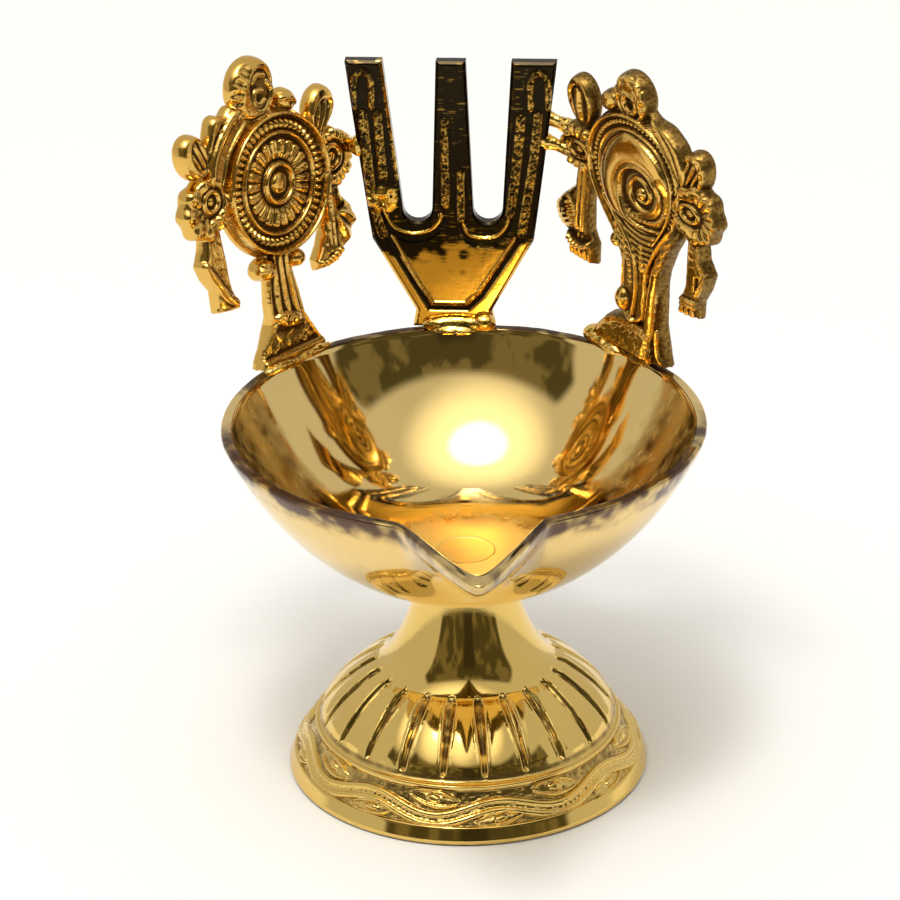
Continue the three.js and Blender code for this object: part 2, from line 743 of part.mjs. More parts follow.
function conchEmblemSolid() {
  const face = emblemFace;
  const pieces = [
    conchSlab(-0.5, emblemBack, face - 0.2),
    conchSlab(0, emblemBack, face + 1.4).subtract(conchSlab(1.2, face + 0.7, face + 3)),
    ellipsoid([conchX + 0.4, conchY - 0.6, face + 0.4], [8.8, 8, 2], 0, 14, 6),
    pleatedBand([
      [conchX + 1, conchY - 5, 11, face + 1.6],
      [conchTailX + 0.2, conchY - 12.5, 5.4, face + 1.7],
      [conchTailX + 0.4, conchTailEnd + 2.6, 3.4, face + 1.3],
    ], 3, 0.4, emblemBack),
    whorl(),
    flame(-0.7, 45.6, 9, 8.8, 0),
    flame(...conchFlame),
    flame(14.3, 38.4, 6.2, 8.2, -22),
    rosette(15.2, 31.6, 4.9, 8),
    rosette(...conchFan),
    ellipsoid([-6.6, 42.6, -0.1], [2.1, 1.7, 1.3], 30),
    ellipsoid([6.6, 41, -0.1], [3.2, 2.2, 1.4], -35),
    ellipsoid([10.6, 37.6, -0.3], [2.4, 3, 1.2], 20),
    pleatedBand([
      [14.9, 28.4, 3.6, 0.5],
      [15.3, 23.9, 4.2, 0.9],
      [16.1, 21.5, 5.8, 1.2],
      [15.6, 18.6, 5, 1],
      [14.4, 16, 4.6, 0.7],
      [14.2, 14.6, 4.8, 1.2],
      [13.9, 12.9, 5.4, 0.8],
    ], 3, 0.5, emblemBack, 0.12),
    pleatedBand([
      [-12, 29.4, 3.4, 0.5],
      [-12.4, 24.4, 3.8, 0.9],
      [-13.7, 22, 6.2, 1.1],
      [-14.5, 19.8, 8, 1.1],
      [-14, 17.1, 7.2, 0.9],
      [-12.3, 15, 6.4, 1.3],
      [-12.2, 11.6, 6.2, 0.8],
    ], 3, 0.5, emblemBack),
    ellipsoid([-3.2, 19.3, 0.3], [1.6, 1.5, 1.2]),
    ellipsoid([-0.5, 9.9, 0.7], [1.8, 2.4, 1.7]),
    pleatedBand([
      [5.6, 22, 4.4, 0.2],
      [5.6, 15, 4.2, 0.2],
      [5.4, 8, 4.2, 0.4],
      [6.4, 2.8, 5.2, 0.5],
      [7.2, -1.6, 6.8, 0.6],
    ], 3, 0.4, emblemBack - 0.2),
    conchPad(0),
  ];
  return joined(pieces).subtract(belowRim(conchPlace));
}

// Block in front of the conch's foot, its top falling away to the left
function conchPad(grow) {
  const edge = 0.6;
  const back = -1.9;
  const front = 2.4;
  const shape = new THREE.Shape([
    point(-7.4, -2),
    point(6.4, -2),
    point(6.8, 1.4),
    point(6.4, 6.2),
    point(2, 6.8),
    point(-1.8, 6.4),
    point(-4.6, 5),
    point(-6.6, 2.4),
  ]);
  const block = new THREE.ExtrudeGeometry(shape, {
    depth: front - back - 2 * edge + 2 * grow,
    bevelEnabled: true,
    bevelSegments: 1,
    bevelThickness: edge,
    bevelSize: edge,
    bevelOffset: grow - edge,
  });
  return solid(block.translate(0, 0, back + edge - grow));
}

// A solid drawn on an upright plane, moved to its place over the rim
function placed(shape, matrix) {
  return solid(geometryOf(shape).applyMatrix4(matrix));
}

// A lumpy bead of braze over a joint, its lumps drawn on an upright plane as centre and radii across,
// up and out, and kept clear of the pieces that it holds
function braze(lumps, matrix, neighbours) {
  const bead = placed(joined(lumps.map(([centre, radii]) => ellipsoid(centre, radii, 0, 8, 6))), matrix);
  return geometryOf(neighbours.reduce((whole, neighbour) => whole.subtract(neighbour), bead));
}

// A waisted web of braze from a point in one piece to a point in another, cut clear of both
function tie(from, to, radius, neighbours) {
  const run = new THREE.Vector3().subVectors(to, from);
  const side = new THREE.Vector3(0, 0, 1).cross(run).normalize();
  const up = new THREE.Vector3().crossVectors(run, side).normalize();
  const sides = 8;
  const rings = [0, 0.3, 0.7, 1].map((t) => {
    const waist = 1 - 1.6 * t * (1 - t);
    return Array.from({ length: sides }, (_, k) => {
      const turn = k * Math.PI * 2 / sides;
      return from.clone().addScaledVector(run, t)
        .addScaledVector(side, 0.8 * radius * waist * Math.cos(turn))
        .addScaledVector(up, radius * waist * Math.sin(turn));
    });
  });
  const web = solid(skinned(rings));
  return geometryOf(neighbours.reduce((whole, neighbour) => whole.subtract(neighbour), web));
}

const lamp = new THREE.Group();

function place(name, geometry, finish, matrix) {
  const material = new THREE.MeshStandardMaterial({ ...finish, flatShading: true });
  const mesh = new THREE.Mesh(geometry, material);
  mesh.name = name;
  if (matrix) mesh.applyMatrix4(matrix);
  lamp.add(mesh);
}

place('foot', makeFoot(), brass.turned);
place('bowl', bowlGeometry(0, bowlSegments, bowlSteps), brass.turned);
place('centre_bolt', makeBolt(), brass.bolt);
place('bolt_washer', makeWasher(), brass.bolt);
place('bolt_nut', makeNut(), brass.bolt);
place('namam_plate', makePlate(), brass.plate, platePlace);
place('chakra_emblem', geometryOf(discEmblemSolid()), brass.cast, discPlace);
place('shankha_emblem', geometryOf(conchEmblemSolid()), brass.cast, conchPlace);

const bowlSpace = solid(bowlGeometry(seatGap, bowlSegments, bowlSteps));
const plateSpace = solid(plateBody(seatGap).applyMatrix4(platePlace));
const skirtSpace = placed(skirt(seatGap), discPlace);
const padSpace = placed(conchPad(seatGap), conchPlace);
const discWing = placed(rosette(...discFan, seatGap), discPlace);
const conchWings = [
  placed(rosette(...conchFan, seatGap), conchPlace),
  placed(flame(...conchFlame, seatGap), conchPlace),
];
place('plate_braze', braze([
  [[-1.6, 0.6, 2.1], [4, 1.8, 1.5]],
  [[3.8, 0.9, 1.9], [3, 1.9, 1.5]],
  [[0, -0.8, 2.5], [3.6, 1.6, 1.5]],
], platePlace, [bowlSpace, plateSpace]), brass.braze);
place('chakra_braze', braze([
  [[-3.4, 0.1, 2], [3.4, 1, 1.2]],
  [[3.6, 0, 2], [5.6, 0.9, 1]],
], discPlace, [bowlSpace, skirtSpace]), brass.braze);
place('shankha_braze', braze([
  [[-6.8, 0.2, 1.2], [2.6, 1.5, 2]],
  [[-3.4, 0, 2.1], [4, 1.4, 1.6]],
], conchPlace, [bowlSpace, padSpace]), brass.braze);

// Each tie runs from an edge of the plate to the wing that comes near it
const prongEdge = plateTopHalf - 1.9;
const onPlate = (x, y, z) => new THREE.Vector3(x, y, z).applyMatrix4(platePlace);
const onWing = (matrix, [x, y, reach], across, up) => (
  new THREE.Vector3(x + across * reach, y + up * reach, 0).applyMatrix4(matrix)
);
const conchWing = (across, up) => onWing(conchPlace, conchFan, across, up);
place('chakra_tie', tie(
  onPlate(-prongEdge, 31, -0.4),
  onWing(discPlace, discFan, 0.8, 0.2),
  1.9,
  [plateSpace, discWing],
), brass.braze);
place('shankha_tie_upper', tie(
  onPlate(prongEdge, 36.2, -0.3),
  conchWing(-0.8, 0.5),
  1.5,
  [plateSpace, ...conchWings],
), brass.braze);
place('shankha_tie_lower', tie(
  onPlate(prongEdge - 0.2, 32.4, 0.2),
  conchWing(-0.7, -0.5),
  1.5,
  [plateSpace, ...conchWings],
), brass.braze);

lamp.updateMatrixWorld(true);
const box = new THREE.Box3().setFromObject(lamp, true);
const middle = box.getCenter(new THREE.Vector3());
lamp.position.set(-middle.x, -middle.y, 0);

export default lamp;
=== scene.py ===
# Standing brass oil lamp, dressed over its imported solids.
# Shapes are drawn in millimetres about the foot's axis, with the spout towards -Y.
import functools
import math

import bpy
import numpy as np
from mathutils import Matrix, Vector


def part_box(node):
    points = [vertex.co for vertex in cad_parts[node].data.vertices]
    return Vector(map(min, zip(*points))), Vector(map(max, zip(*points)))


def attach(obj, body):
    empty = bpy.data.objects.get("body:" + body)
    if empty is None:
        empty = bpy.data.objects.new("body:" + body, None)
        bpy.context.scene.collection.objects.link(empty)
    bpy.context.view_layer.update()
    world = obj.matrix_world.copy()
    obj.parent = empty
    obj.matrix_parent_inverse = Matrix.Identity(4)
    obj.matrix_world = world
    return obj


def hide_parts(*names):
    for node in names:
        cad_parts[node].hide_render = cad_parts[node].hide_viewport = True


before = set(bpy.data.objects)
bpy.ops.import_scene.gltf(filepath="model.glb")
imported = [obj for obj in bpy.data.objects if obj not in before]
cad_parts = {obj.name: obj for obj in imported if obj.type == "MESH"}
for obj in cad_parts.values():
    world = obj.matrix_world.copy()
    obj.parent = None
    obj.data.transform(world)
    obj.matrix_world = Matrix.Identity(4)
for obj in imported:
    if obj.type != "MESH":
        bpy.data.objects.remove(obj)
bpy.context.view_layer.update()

foot_low, foot_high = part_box("foot")
AXIS = np.array([(foot_low.x + foot_high.x) / 2, (foot_low.y + foot_high.y) / 2, 0.0]) * 1000

# Foot
FOOT_RADIUS, FOOT_EDGE_RADIUS, FOOT_EDGE_HEIGHT = 28.9, 28.1, 2.9
BAND_TOP_RADIUS, BAND_TOP_HEIGHT = 24.6, 7.6
BEAD_RADIUS = 0.36
DOME_FOOT, DOME_TOP = np.array([23.7, 9.2]), np.array([15.2, 17.6])
NECK_RADIUS, NECK_HEIGHT = 7.6, 33.0
FOOT_WALL, HOLLOW_HEIGHT, HOLLOW_TOP_RADIUS = 2.4, 19.5, 8.8
GROOVES, GROOVE_TURN = 22, math.radians(4.4)
SCROLLS, SCROLL_TURN, SCROLL_RIBS, SCROLL_HEIGHT = 8, math.radians(14.5), 22, 0.66

# Bowl
RIM_RADIUS, BOWL_HEIGHT, SEAT_RADIUS = 38.0, 27.0, 6.4
LIP_WIDTH, LIP_EDGE, FLOOR_THICKNESS = 1.9, 0.5, 4.4
SPOUT_REACH, SPOUT_NOSE, SPOUT_HALF = 57.8, 3.6, math.radians(17.5)
SPOUT_START, SPOUT_NOSE_DEPTH, SPOUT_TIP, SPOUT_FILLET = 7.0, 2.2, 0.035, 1.2
FLAT_RADIUS = 7.6
BOLT_RADIUS, BOLT_HEAD_RADIUS, BOLT_HEAD_HEIGHT, SEAT_GAP = 2.4, 4.6, 2.2, 0.3
RIM_TOP = NECK_HEIGHT + BOWL_HEIGHT

# Pieces whose names are shorter than their nodes' names
LOOKS = {"chakra_emblem": "chakra", "shankha_emblem": "shankha", "namam_plate": "plate"}


def smooth(a, b, x):
    t = np.clip((x - a) / (b - a), 0, 1)
    return t * t * (3 - 2 * t)


def mix(a, b, t):
    return a + (b - a) * t


def highest(*fields):
    return functools.reduce(np.maximum, fields)


def ridge(distance, half_width):
    """Height of a rounded ridge over its distance from the ridge's line."""
    return np.sqrt(np.clip(1 - (distance / half_width) ** 2, 0, 1))


def wave(x, length):
    return np.cos(x * 2 * math.pi / length)


def arc(count, *points, end=True):
    """Points along a line, a quadratic or a cubic curve, given by 2, 3 or 4 control points."""
    t = np.linspace(0, 1, count, endpoint=end)[:, None]
    s = 1 - t
    p = [np.array(point, float) for point in points]
    if len(p) == 2:
        return p[0] * s + p[1] * t
    if len(p) == 3:
        return p[0] * s ** 2 + 2 * p[1] * t * s + p[2] * t ** 2
    return p[0] * s ** 3 + 3 * p[1] * t * s ** 2 + 3 * p[2] * t * t * s + p[3] * t ** 3


def chain(*runs):
    """Joins runs of points, each starting where the last one ended."""
    parts = [runs[0]]
    for run in runs[1:]:
        near = np.allclose(run[0], parts[-1][-1])
        parts.append(run[1:] if near else run)
    return np.concatenate(parts)


def noise3(points, scale, seed):
    """Smooth value noise between -1 and 1, the same on each run."""
    size = 32
    table = np.random.default_rng(seed).uniform(-1, 1, (size, size, size))
    p = np.asarray(points, float) / scale
    base = np.floor(p).astype(int)
    f = p - base
    f = f * f * (3 - 2 * f)
    total = np.zeros(p.shape[:-1])
    for corner in np.ndindex(2, 2, 2):
        weight = 1.0
        for axis, far in enumerate(corner):
            weight = weight * (f[..., axis] if far else 1 - f[..., axis])
        total += weight * table[tuple(((base + corner) % size)[..., axis] for axis in range(3))]
    return total


def flat_noise(u, v, scale, seed, depth=0):
    return noise3(np.stack([u, v, 0 * u + depth], -1), scale, seed)


def turned(radius, height, angle):
    """Points at a radius and a height, turned about the axis by an angle from the spout."""
    return np.stack([radius * np.sin(angle), -radius * np.cos(angle), height + 0 * angle], -1)


def new_object(name, data):
    thing = bpy.data.objects.new(name, data)
    bpy.context.scene.collection.objects.link(thing)
    return thing


def make_piece(node, slot, material, points, quads, marks):
    """A smooth mesh piece, drawn in millimetres, that stands for a CAD node, with its marks on its points."""
    name = LOOKS.get(node, node) + "_look"
    quads = np.asarray(quads, np.int32).reshape(-1, 4)
    mesh = bpy.data.meshes.new(name)
    mesh.vertices.add(len(points))
    mesh.vertices.foreach_set("co", ((points + AXIS) / 1000).astype(np.float32).ravel())
    mesh.loops.add(quads.size)
    mesh.loops.foreach_set("vertex_index", quads.ravel())
    mesh.polygons.add(len(quads))
    mesh.polygons.foreach_set("loop_start", np.arange(len(quads), dtype=np.int32) * 4)
    mesh.update(calc_edges=True)
    mesh.shade_smooth()
    for mark, values in marks.items():
        mesh.attributes.new(mark, "FLOAT", "POINT").data.foreach_set("value", np.asarray(values, np.float32).ravel())
    mesh.materials.append(material)
    piece = new_object(name, mesh)
    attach(piece, "root")
    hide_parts(node)
    return mesh


def wrapped_quads(rows, columns):
    """Faces of a closed ring of profile points (rows), turned all round (columns)."""
    i = np.arange(rows)[:, None]
    j = np.arange(columns)[None, :]
    a = i * columns + j
    b = i * columns + (j + 1) % columns
    c = ((i + 1) % rows) * columns + (j + 1) % columns
    d = ((i + 1) % rows) * columns + j
    return np.stack([a, b, c, d], -1).reshape(-1, 4)


def put(tree, kind, sockets, out=0, **settings):
    """Adds a node with its settings, each socket given a value or fed by an output, and returns its own output."""
    node = tree.nodes.new("ShaderNode" + kind)
    for name, value in settings.items():
        setattr(node, name, value)
    for name, value in sockets.items():
        if isinstance(value, bpy.types.NodeSocket):
            tree.links.new(value, node.inputs[name])
        else:
            node.inputs[name].default_value = value
    return node.outputs[out]


def material_tree(name):
    material = bpy.data.materials.new(name)
    material.use_nodes = True
    return material, material.node_tree, material.node_tree.nodes["Principled BSDF"].inputs


def brass(name, bright, deep, roughness, spread, grain, bump, mark=None, stains=(), lines=None):
    """Brass with cloudy colour, painted shade and grime in recesses from a mark, stains and fine pits."""
    material, tree, shader = material_tree(name)
    spot = put(tree, "TexCoord", {}, "Object")
    clouds = put(tree, "TexNoise", {"Scale": grain, "Detail": 5, "Roughness": 0.6, "Vector": spot})
    speck = put(tree, "TexNoise", {"Scale": grain * 9, "Detail": 4, "Vector": spot})
    colour = put(tree, "ValToRGB", {"Fac": clouds})
    for stop, position, share in zip(colour.node.color_ramp.elements, (0.32, 0.72), (0.9, 1)):
        stop.position = position
        stop.color = (*[c * share for c in bright], 1)
    least, most = roughness - spread / 2, roughness + spread / 2
    span = {"From Min": 0.35, "From Max": 0.7, "To Min": least, "To Max": most, "Value": clouds}
    rough = put(tree, "MapRange", span)
    # the first mark paints shade and grime in its deep colour; the stains come after it
    for which, shade, rougher in ((mark, deep, 0.3), *stains) if mark else ():
        layer = put(tree, "Attribute", {}, "Fac", attribute_name=which)
        broken = put(tree, "Math", {0: speck, 1: 0.7, 2: layer}, operation="MULTIPLY_ADD")
        share = {"From Min": 0.42, "From Max": 1.2, "Value": broken}
        amount = put(tree, "MapRange", share, interpolation_type="SMOOTHSTEP")
        colour = put(tree, "Mix", {"Factor": amount, "A": colour, "B": (*shade, 1)}, "Result", data_type="RGBA")
        rough = put(tree, "Math", {0: amount, 1: rougher, 2: rough}, operation="MULTIPLY_ADD")
    height = speck
    if lines:
        turned = put(tree, "Mapping", {"Scale": lines, "Vector": spot})
        rings = put(tree, "TexNoise", {"Scale": 1, "Detail": 2, "Vector": turned})
        height = put(tree, "Math", {0: rings, 1: 1.5, 2: speck}, operation="MULTIPLY_ADD")
    pits = put(tree, "Bump", {"Strength": 1, "Distance": bump, "Height": height})
    shader["Metallic"].default_value = 1
    for socket, value in (("Base Color", colour), ("Roughness", rough), ("Normal", pits)):
        tree.links.new(value, shader[socket])
    return material


# A stain is a mark, its colour and how much rougher it is
BURN = ("burn", (0.12, 0.072, 0.05), 0.2)
# the bowl's floor and side walls: scoured rougher, and painted a brighter yellow, a painted pool of light
WEAR_AND_PAINTED_LIGHT = ("wear_and_painted_light", (0.96, 0.77, 0.29), 0.4)
TARNISH = ("tarnish", (0.019, 0.0135, 0.0065), 0.12)
POLISHED = brass(
    "polished_brass_look", (0.85, 0.59, 0.175), (0.15, 0.085, 0.025), 0.07, 0.05, 60, 2e-6,
    "shade_and_grime", lines=(2, 2, 9000))
BOWL_BRASS = brass(
    "bowl_brass_look", (0.88, 0.64, 0.25), (0.07, 0.035, 0.015), 0.05, 0.03, 40, 1e-6,
    "shade_and_grime", (BURN, WEAR_AND_PAINTED_LIGHT), (2, 2, 7000))
PLATE = brass(
    "filed_brass_look", (0.79, 0.47, 0.085), (0.10, 0.05, 0.012), 0.11, 0.07, 90, 4e-6,
    "shade_and_grime", (TARNISH,), (2, 2, 5200))
BRAZE = brass("braze_look", (0.9, 0.6, 0.15), (0.2, 0.1, 0.02), 0.12, 0.1, 300, 1.2e-5, "shade_and_grime")
BOLT = brass("bolt_brass_look", (0.93, 0.72, 0.28), None, 0.36, 0.06, 120, 2e-6, lines=(900, 900, 2))
CAST = brass("cast_brass_look", (0.8, 0.49, 0.115), (0.075, 0.036, 0.009), 0.17, 0.12, 220, 1e-5, "shade_and_grime")


def rim_distance(angle, inset):
    """Distance from the axis to the rim at an angle from the spout, measured inside the lip by inset."""
    round_part = RIM_RADIUS - inset
    sharp = SPOUT_REACH + SPOUT_NOSE
    lean = math.atan2(math.sin(SPOUT_HALF) * RIM_RADIUS, sharp - math.cos(SPOUT_HALF) * RIM_RADIUS)
    reach = sharp - inset / math.sin(lean)
    tip = np.arctan2(math.sin(SPOUT_HALF) * round_part, reach - math.cos(SPOUT_HALF) * round_part)
    away = np.sqrt(angle * angle + SPOUT_TIP * SPOUT_TIP)
    straight = reach * np.sin(tip) / np.sin(tip + away)
    over = straight - round_part
    pulled = round_part + (over + np.sqrt(over * over + SPOUT_FILLET ** 2)) / 2
    return np.where(away > 2 * SPOUT_HALF, round_part, pulled)


def bowl():
    top, base = RIM_TOP, NECK_HEIGHT
    floor = base + FLOOR_THICKNESS
    hole, well = BOLT_RADIUS + SEAT_GAP, BOLT_HEAD_RADIUS + 0.05
    mouth = RIM_RADIUS - LIP_WIDTH
    outer = arc(76, (SEAT_RADIUS, base), (17.8, base + 0.2), (31.3, base + 11), (RIM_RADIUS, top - LIP_EDGE))
    inner = arc(90, (mouth, top - LIP_EDGE), (29.1, base + 12), (18.5, floor), (FLAT_RADIUS, floor))
    lip_out = arc(6, outer[-1], (RIM_RADIUS, top), (RIM_RADIUS - LIP_EDGE, top))
    lip_in = arc(6, (mouth + LIP_EDGE, top), (mouth, top), inner[0])
    profile = chain(
        outer, lip_out, arc(4, lip_out[-1], lip_in[0]), lip_in, inner,
        arc(8, inner[-1], (well + 0.05, floor)), arc(3, (well + 0.05, floor), (well, floor - 0.04)),
        arc(4, (well, floor - 0.04), (hole, floor - BOLT_HEAD_HEIGHT)),
        arc(3, (hole, floor - BOLT_HEAD_HEIGHT), (hole, base)), arc(5, (hole, base), (SEAT_RADIUS, base)),
    )[:-1]
    lip = slice(len(outer), len(outer) + 13)
    inset = np.full(len(profile), LIP_WIDTH)
    inset[:lip.start] = 0
    inset[lip] = np.clip(RIM_RADIUS - profile[lip, 0], 0, LIP_WIDTH)
    # the columns stand closer together at the spout
    columns = 520
    even = np.arange(columns) * 2 * math.pi / columns
    even = np.where(even > math.pi, even - 2 * math.pi, even)
    angle = even - 0.6 * np.sin(even)
    side = np.abs(angle)
    r, z, cut = profile[:, 0, None], profile[:, 1, None], inset[:, None]
    climb = np.clip((z - base - SPOUT_START) / (BOWL_HEIGHT - SPOUT_NOSE_DEPTH - SPOUT_START), 0, 1) ** 1.2
    radius = r * (1 + (rim_distance(side, cut) / (RIM_RADIUS - cut) - 1) * climb)
    height = z + 0 * radius
    # the lip is filed by hand, so it wavers a little
    around = turned(9, 0, angle + math.pi / 2)
    waver = noise3(around, 1.5, 11) * 0.1 + noise3(around, 0.5, 12) * 0.05
    height = height + smooth(top - 2.5, top, height) * waver
    points = turned(radius, height, angle)
    # burnt along the front lip, dull dirt on the rear lip
    row = np.arange(len(profile))[:, None]
    on_lip = smooth(top - 6.6, top - 0.4, height) * (row < lip.stop)
    front = mix(0.4, 1, smooth(0.1, 0.35, side)) * (1 - smooth(1.25, 1.75, side))
    smoke = 0.45 + 0.95 * noise3(points, 3.2, 21) + 0.4 * noise3(points, 1.1, 22)
    burn = on_lip * (0.12 + front * (0.15 + 0.8 * np.clip(smoke, 0, 1.2) + 0.12 * on_lip))
    rear_lip = smooth(1.7, 2.2, side) * (np.abs(row - lip.start - 5) < 6)
    shade_and_grime = rear_lip * (0.8 + 0.4 * noise3(points, 1.6, 23))
    # the floor is scoured dull, and the side walls a little; both are painted a brighter yellow too, a painted pool
    # of light
    inside = row >= lip.stop
    flank = smooth(20, 26, radius) * (smooth(0.9, 1.2, side) * smooth(2.2, 1.9, side))
    wear_and_painted_light = inside * smooth(20, 4, radius) + 0.42 * inside * flank
    quads = wrapped_quads(len(profile), columns)
    return points.reshape(-1, 3), quads, {"burn": burn, "shade_and_grime": shade_and_grime, "wear_and_painted_light": wear_and_painted_light}


make_piece("bowl", "polished_brass", BOWL_BRASS, *bowl())


def scroll(theta, t):
    """Relief of the running vine on the sloped band, with t across it from its foot to its top."""
    period = 2 * math.pi / SCROLLS
    phase = ((theta + SCROLL_TURN) / period) % 1.0
    long, tall = period * 26.4, 5.7
    y = t * tall
    # a double line with ribs in it swings under the upper eyes and over the lower ones
    swing = 1.12
    middle = 2.1 - swing * np.cos(2 * math.pi * phase)
    slope = swing * 2 * math.pi * np.sin(2 * math.pi * phase) / long
    off = (y - middle) / np.sqrt(1 + slope ** 2)
    rails = highest(ridge(off - 0.78, 0.55), ridge(off + 0.78, 0.55))
    ribs = 0.5 + 0.5 * np.cos(phase * 2 * math.pi * SCROLL_RIBS)
    height = highest(0.85 * rails, (0.3 + 0.14 * ribs) * (np.abs(off) < 0.8))
    for centre, level, half, reach, lean in ((0, 4.3, 4.3, 1.5, -0.12), (23 / 45, 1.1, 4, 1.25, 0.12)):
        across = ((phase - centre + 0.5) % 1.0 - 0.5) * long
        up = y - level - lean * across
        lens = np.abs(up) / (reach * np.clip(1 - (across / half) ** 2, 0.02, 1) ** 0.8)
        pupil = 0.5 * smooth(0.45, 0.25, np.hypot(up / reach, across / half * 1.5))
        eye = 0.7 * ridge(lens, 1) + 0.45 * ridge(lens - 0.84, 0.24) - 0.5 * smooth(0.66, 0.5, lens) + pupil
        height = highest(height, np.where((np.abs(across) < half) & (lens < 1.15), highest(eye, 0), 0))
    return SCROLL_HEIGHT * height * np.minimum(smooth(0.0, 0.05, t), 1 - smooth(0.95, 1.0, t))


def foot():
    edge_top = (FOOT_EDGE_RADIUS, FOOT_EDGE_HEIGHT - 0.15)
    band_foot = np.array([FOOT_EDGE_RADIUS - 0.3, FOOT_EDGE_HEIGHT])
    band_top = np.array([BAND_TOP_RADIUS, BAND_TOP_HEIGHT])
    mouth, bore = FOOT_RADIUS - FOOT_WALL - 0.8, BOLT_RADIUS + SEAT_GAP
    neck_top, hollow_top = (NECK_RADIUS, NECK_HEIGHT), (HOLLOW_TOP_RADIUS, HOLLOW_HEIGHT)
    turn = np.linspace(-0.3, math.pi * 0.75, 14)
    runs = [
        ("under", arc(5, (mouth, 0), (FOOT_RADIUS - 0.7, 0))),
        ("edge", arc(6, (FOOT_RADIUS - 0.7, 0), (FOOT_RADIUS, 0), (FOOT_RADIUS, 0.8))),
        ("edge", arc(8, (FOOT_RADIUS, 0.8), edge_top)),
        ("edge", arc(4, edge_top, (FOOT_EDGE_RADIUS - 0.05, FOOT_EDGE_HEIGHT), band_foot)),
        ("band", arc(64, band_foot, (band_foot + band_top) / 2 - 0.1, band_top)),
        ("bead", band_top + BEAD_RADIUS * np.stack([np.cos(turn) - 1, np.sin(turn) + 1], -1)),
        ("dome", arc(64, DOME_FOOT, DOME_FOOT + (-2.1, 3.7), DOME_TOP + (3.4, -2.2), DOME_TOP)),
        ("neck", arc(60, DOME_TOP + (-0.2, 0.1), DOME_TOP + (-4, 2.8), neck_top + np.array([1.2, -6]), neck_top)),
        ("top", arc(5, neck_top, (bore, NECK_HEIGHT))),
        ("bore", arc(6, (bore, NECK_HEIGHT), (bore, HOLLOW_HEIGHT))),
        ("hollow", arc(5, (bore, HOLLOW_HEIGHT), hollow_top)),
        ("hollow", arc(18, hollow_top, (13.5, 17.5), (19.2, 12.5), (21.5, 7.5))),
        ("hollow", arc(10, (21.5, 7.5), (22.6, 5.2), (mouth - 0.6, 3.8), (mouth, 1.6))),
        ("hollow", arc(3, (mouth, 1.6), (mouth, 0))),
    ]
    profile, names, along = [], [], []
    for name, run in runs:
        first = int(bool(profile) and np.allclose(run[0], profile[-1]))
        profile += list(run[first:])
        names += [name] * (len(run) - first)
        along += [k / (len(run) - 1) for k in range(first, len(run))]
    profile, names, along = (np.array(part[:-1]) for part in (profile, names, along))
    tangent = np.roll(profile, -1, 0) - np.roll(profile, 1, 0)
    tangent /= np.linalg.norm(tangent, axis=1)[:, None]
    columns = GROOVES * 32
    theta = np.arange(columns) * 2 * math.pi / columns
    out, shade_and_grime = np.zeros((2, len(profile), columns))
    points = turned(profile[:, 0, None], profile[:, 1, None], theta)

    # flutes, cut into crowned ribs from the dome's foot to just past its top
    dome = (names == "dome") | ((names == "neck") & (along < 0.09))
    pitch = 2 * math.pi / GROOVES
    t = np.where(names == "dome", along * 0.9, 0.9 + along / 0.9)[dome][:, None] + 0 * theta
    off = np.abs(((theta - GROOVE_TURN) / pitch + 0.5) % 1.0 - 0.5) * pitch * profile[dome, 0, None]
    wander = 1 + 0.16 * noise3(points[dome], 3.5, 9)
    half = mix(0.45, 0.8, smooth(0.0, 0.8, t)) * wander * np.sqrt(np.clip((1.01 - t) / 0.12, 0.02, 1))
    ends = smooth(0.0, 0.07, t) * (1 - smooth(0.95, 1.0, t))
    groove = np.clip(1 - (off / half) ** 2, 0, 1) ** 0.6
    crown = 0.3 * (1 - (1 - np.clip(off / (pitch * profile[dome, 0, None] / 2), 0, 1)) ** 2)
    raised = (crown + 0.1 * ridge(off - half - 0.2, 0.3)) * smooth(0.0, 0.12, t) * (1 - smooth(0.86, 0.98, t))
    out[dome] = raised - groove * mix(0.5, 0.62, t) * ends
    # painted shade down the flutes, and in the crease at the dome's foot
    groove_shade = groove * ends * (0.62 + 0.7 * noise3(points[dome], 1.3, 10)) - 0.08
    shade_and_grime[dome] = highest(np.clip(groove_shade, 0, 1), smooth(0.05, 0.0, t) * 0.6)

    band = names == "band"
    t = along[band][:, None] + 0 * theta
    relief = scroll(theta + 0 * t, t)
    pits = noise3(points[band], 0.35, 5) * 0.06 + noise3(points[band], 0.9, 6) * 0.08
    out[band] = relief - 0.2 + pits * (1 - 0.75 * np.clip(relief * 2, 0, 1))
    out[band] *= smooth(0.0, 0.03, t) * (1 - smooth(0.97, 1.0, t))
    # painted shade on the low ground between the vine and in its pits
    shade_and_grime[band] = np.clip(0.8 - relief * 3.0 + pits * 3, 0, 1) * 0.6

    hollow, edge = (names == "hollow") | (names == "under"), names == "edge"
    out[hollow] = noise3(points[hollow], 1.4, 7) * 0.12 * smooth(0.2, 1.4, points[hollow][..., 2])
    # painted shade inside the hollow, and along the foot's edge where it meets the floor
    shade_and_grime[hollow] = 0.45 + 0.3 * noise3(points[hollow], 4.0, 8)
    shade_and_grime[edge] = 0.75 * smooth(0.5, 0.1, points[edge][..., 2])
    points = points + turned(tangent[:, 1, None], -tangent[:, 0, None], theta) * out[..., None]
    points[..., 2] = highest(points[..., 2], 0)
    return points.reshape(-1, 3), wrapped_quads(len(profile), columns), {"shade_and_grime": shade_and_grime}


make_piece("foot", "polished_brass", POLISHED, *foot())


# Castings, drawn as relief over their own upright planes: heights of a face, a back and the edges,
# and the steps of the grids they are drawn on
FACE, BACK = 0.5, -1.5
FRONT_EDGE, BACK_EDGE, PLATE_HALF = -0.55, -0.85, 0.85
EMBLEM_STEP, PLATE_STEP = 0.14, 0.17


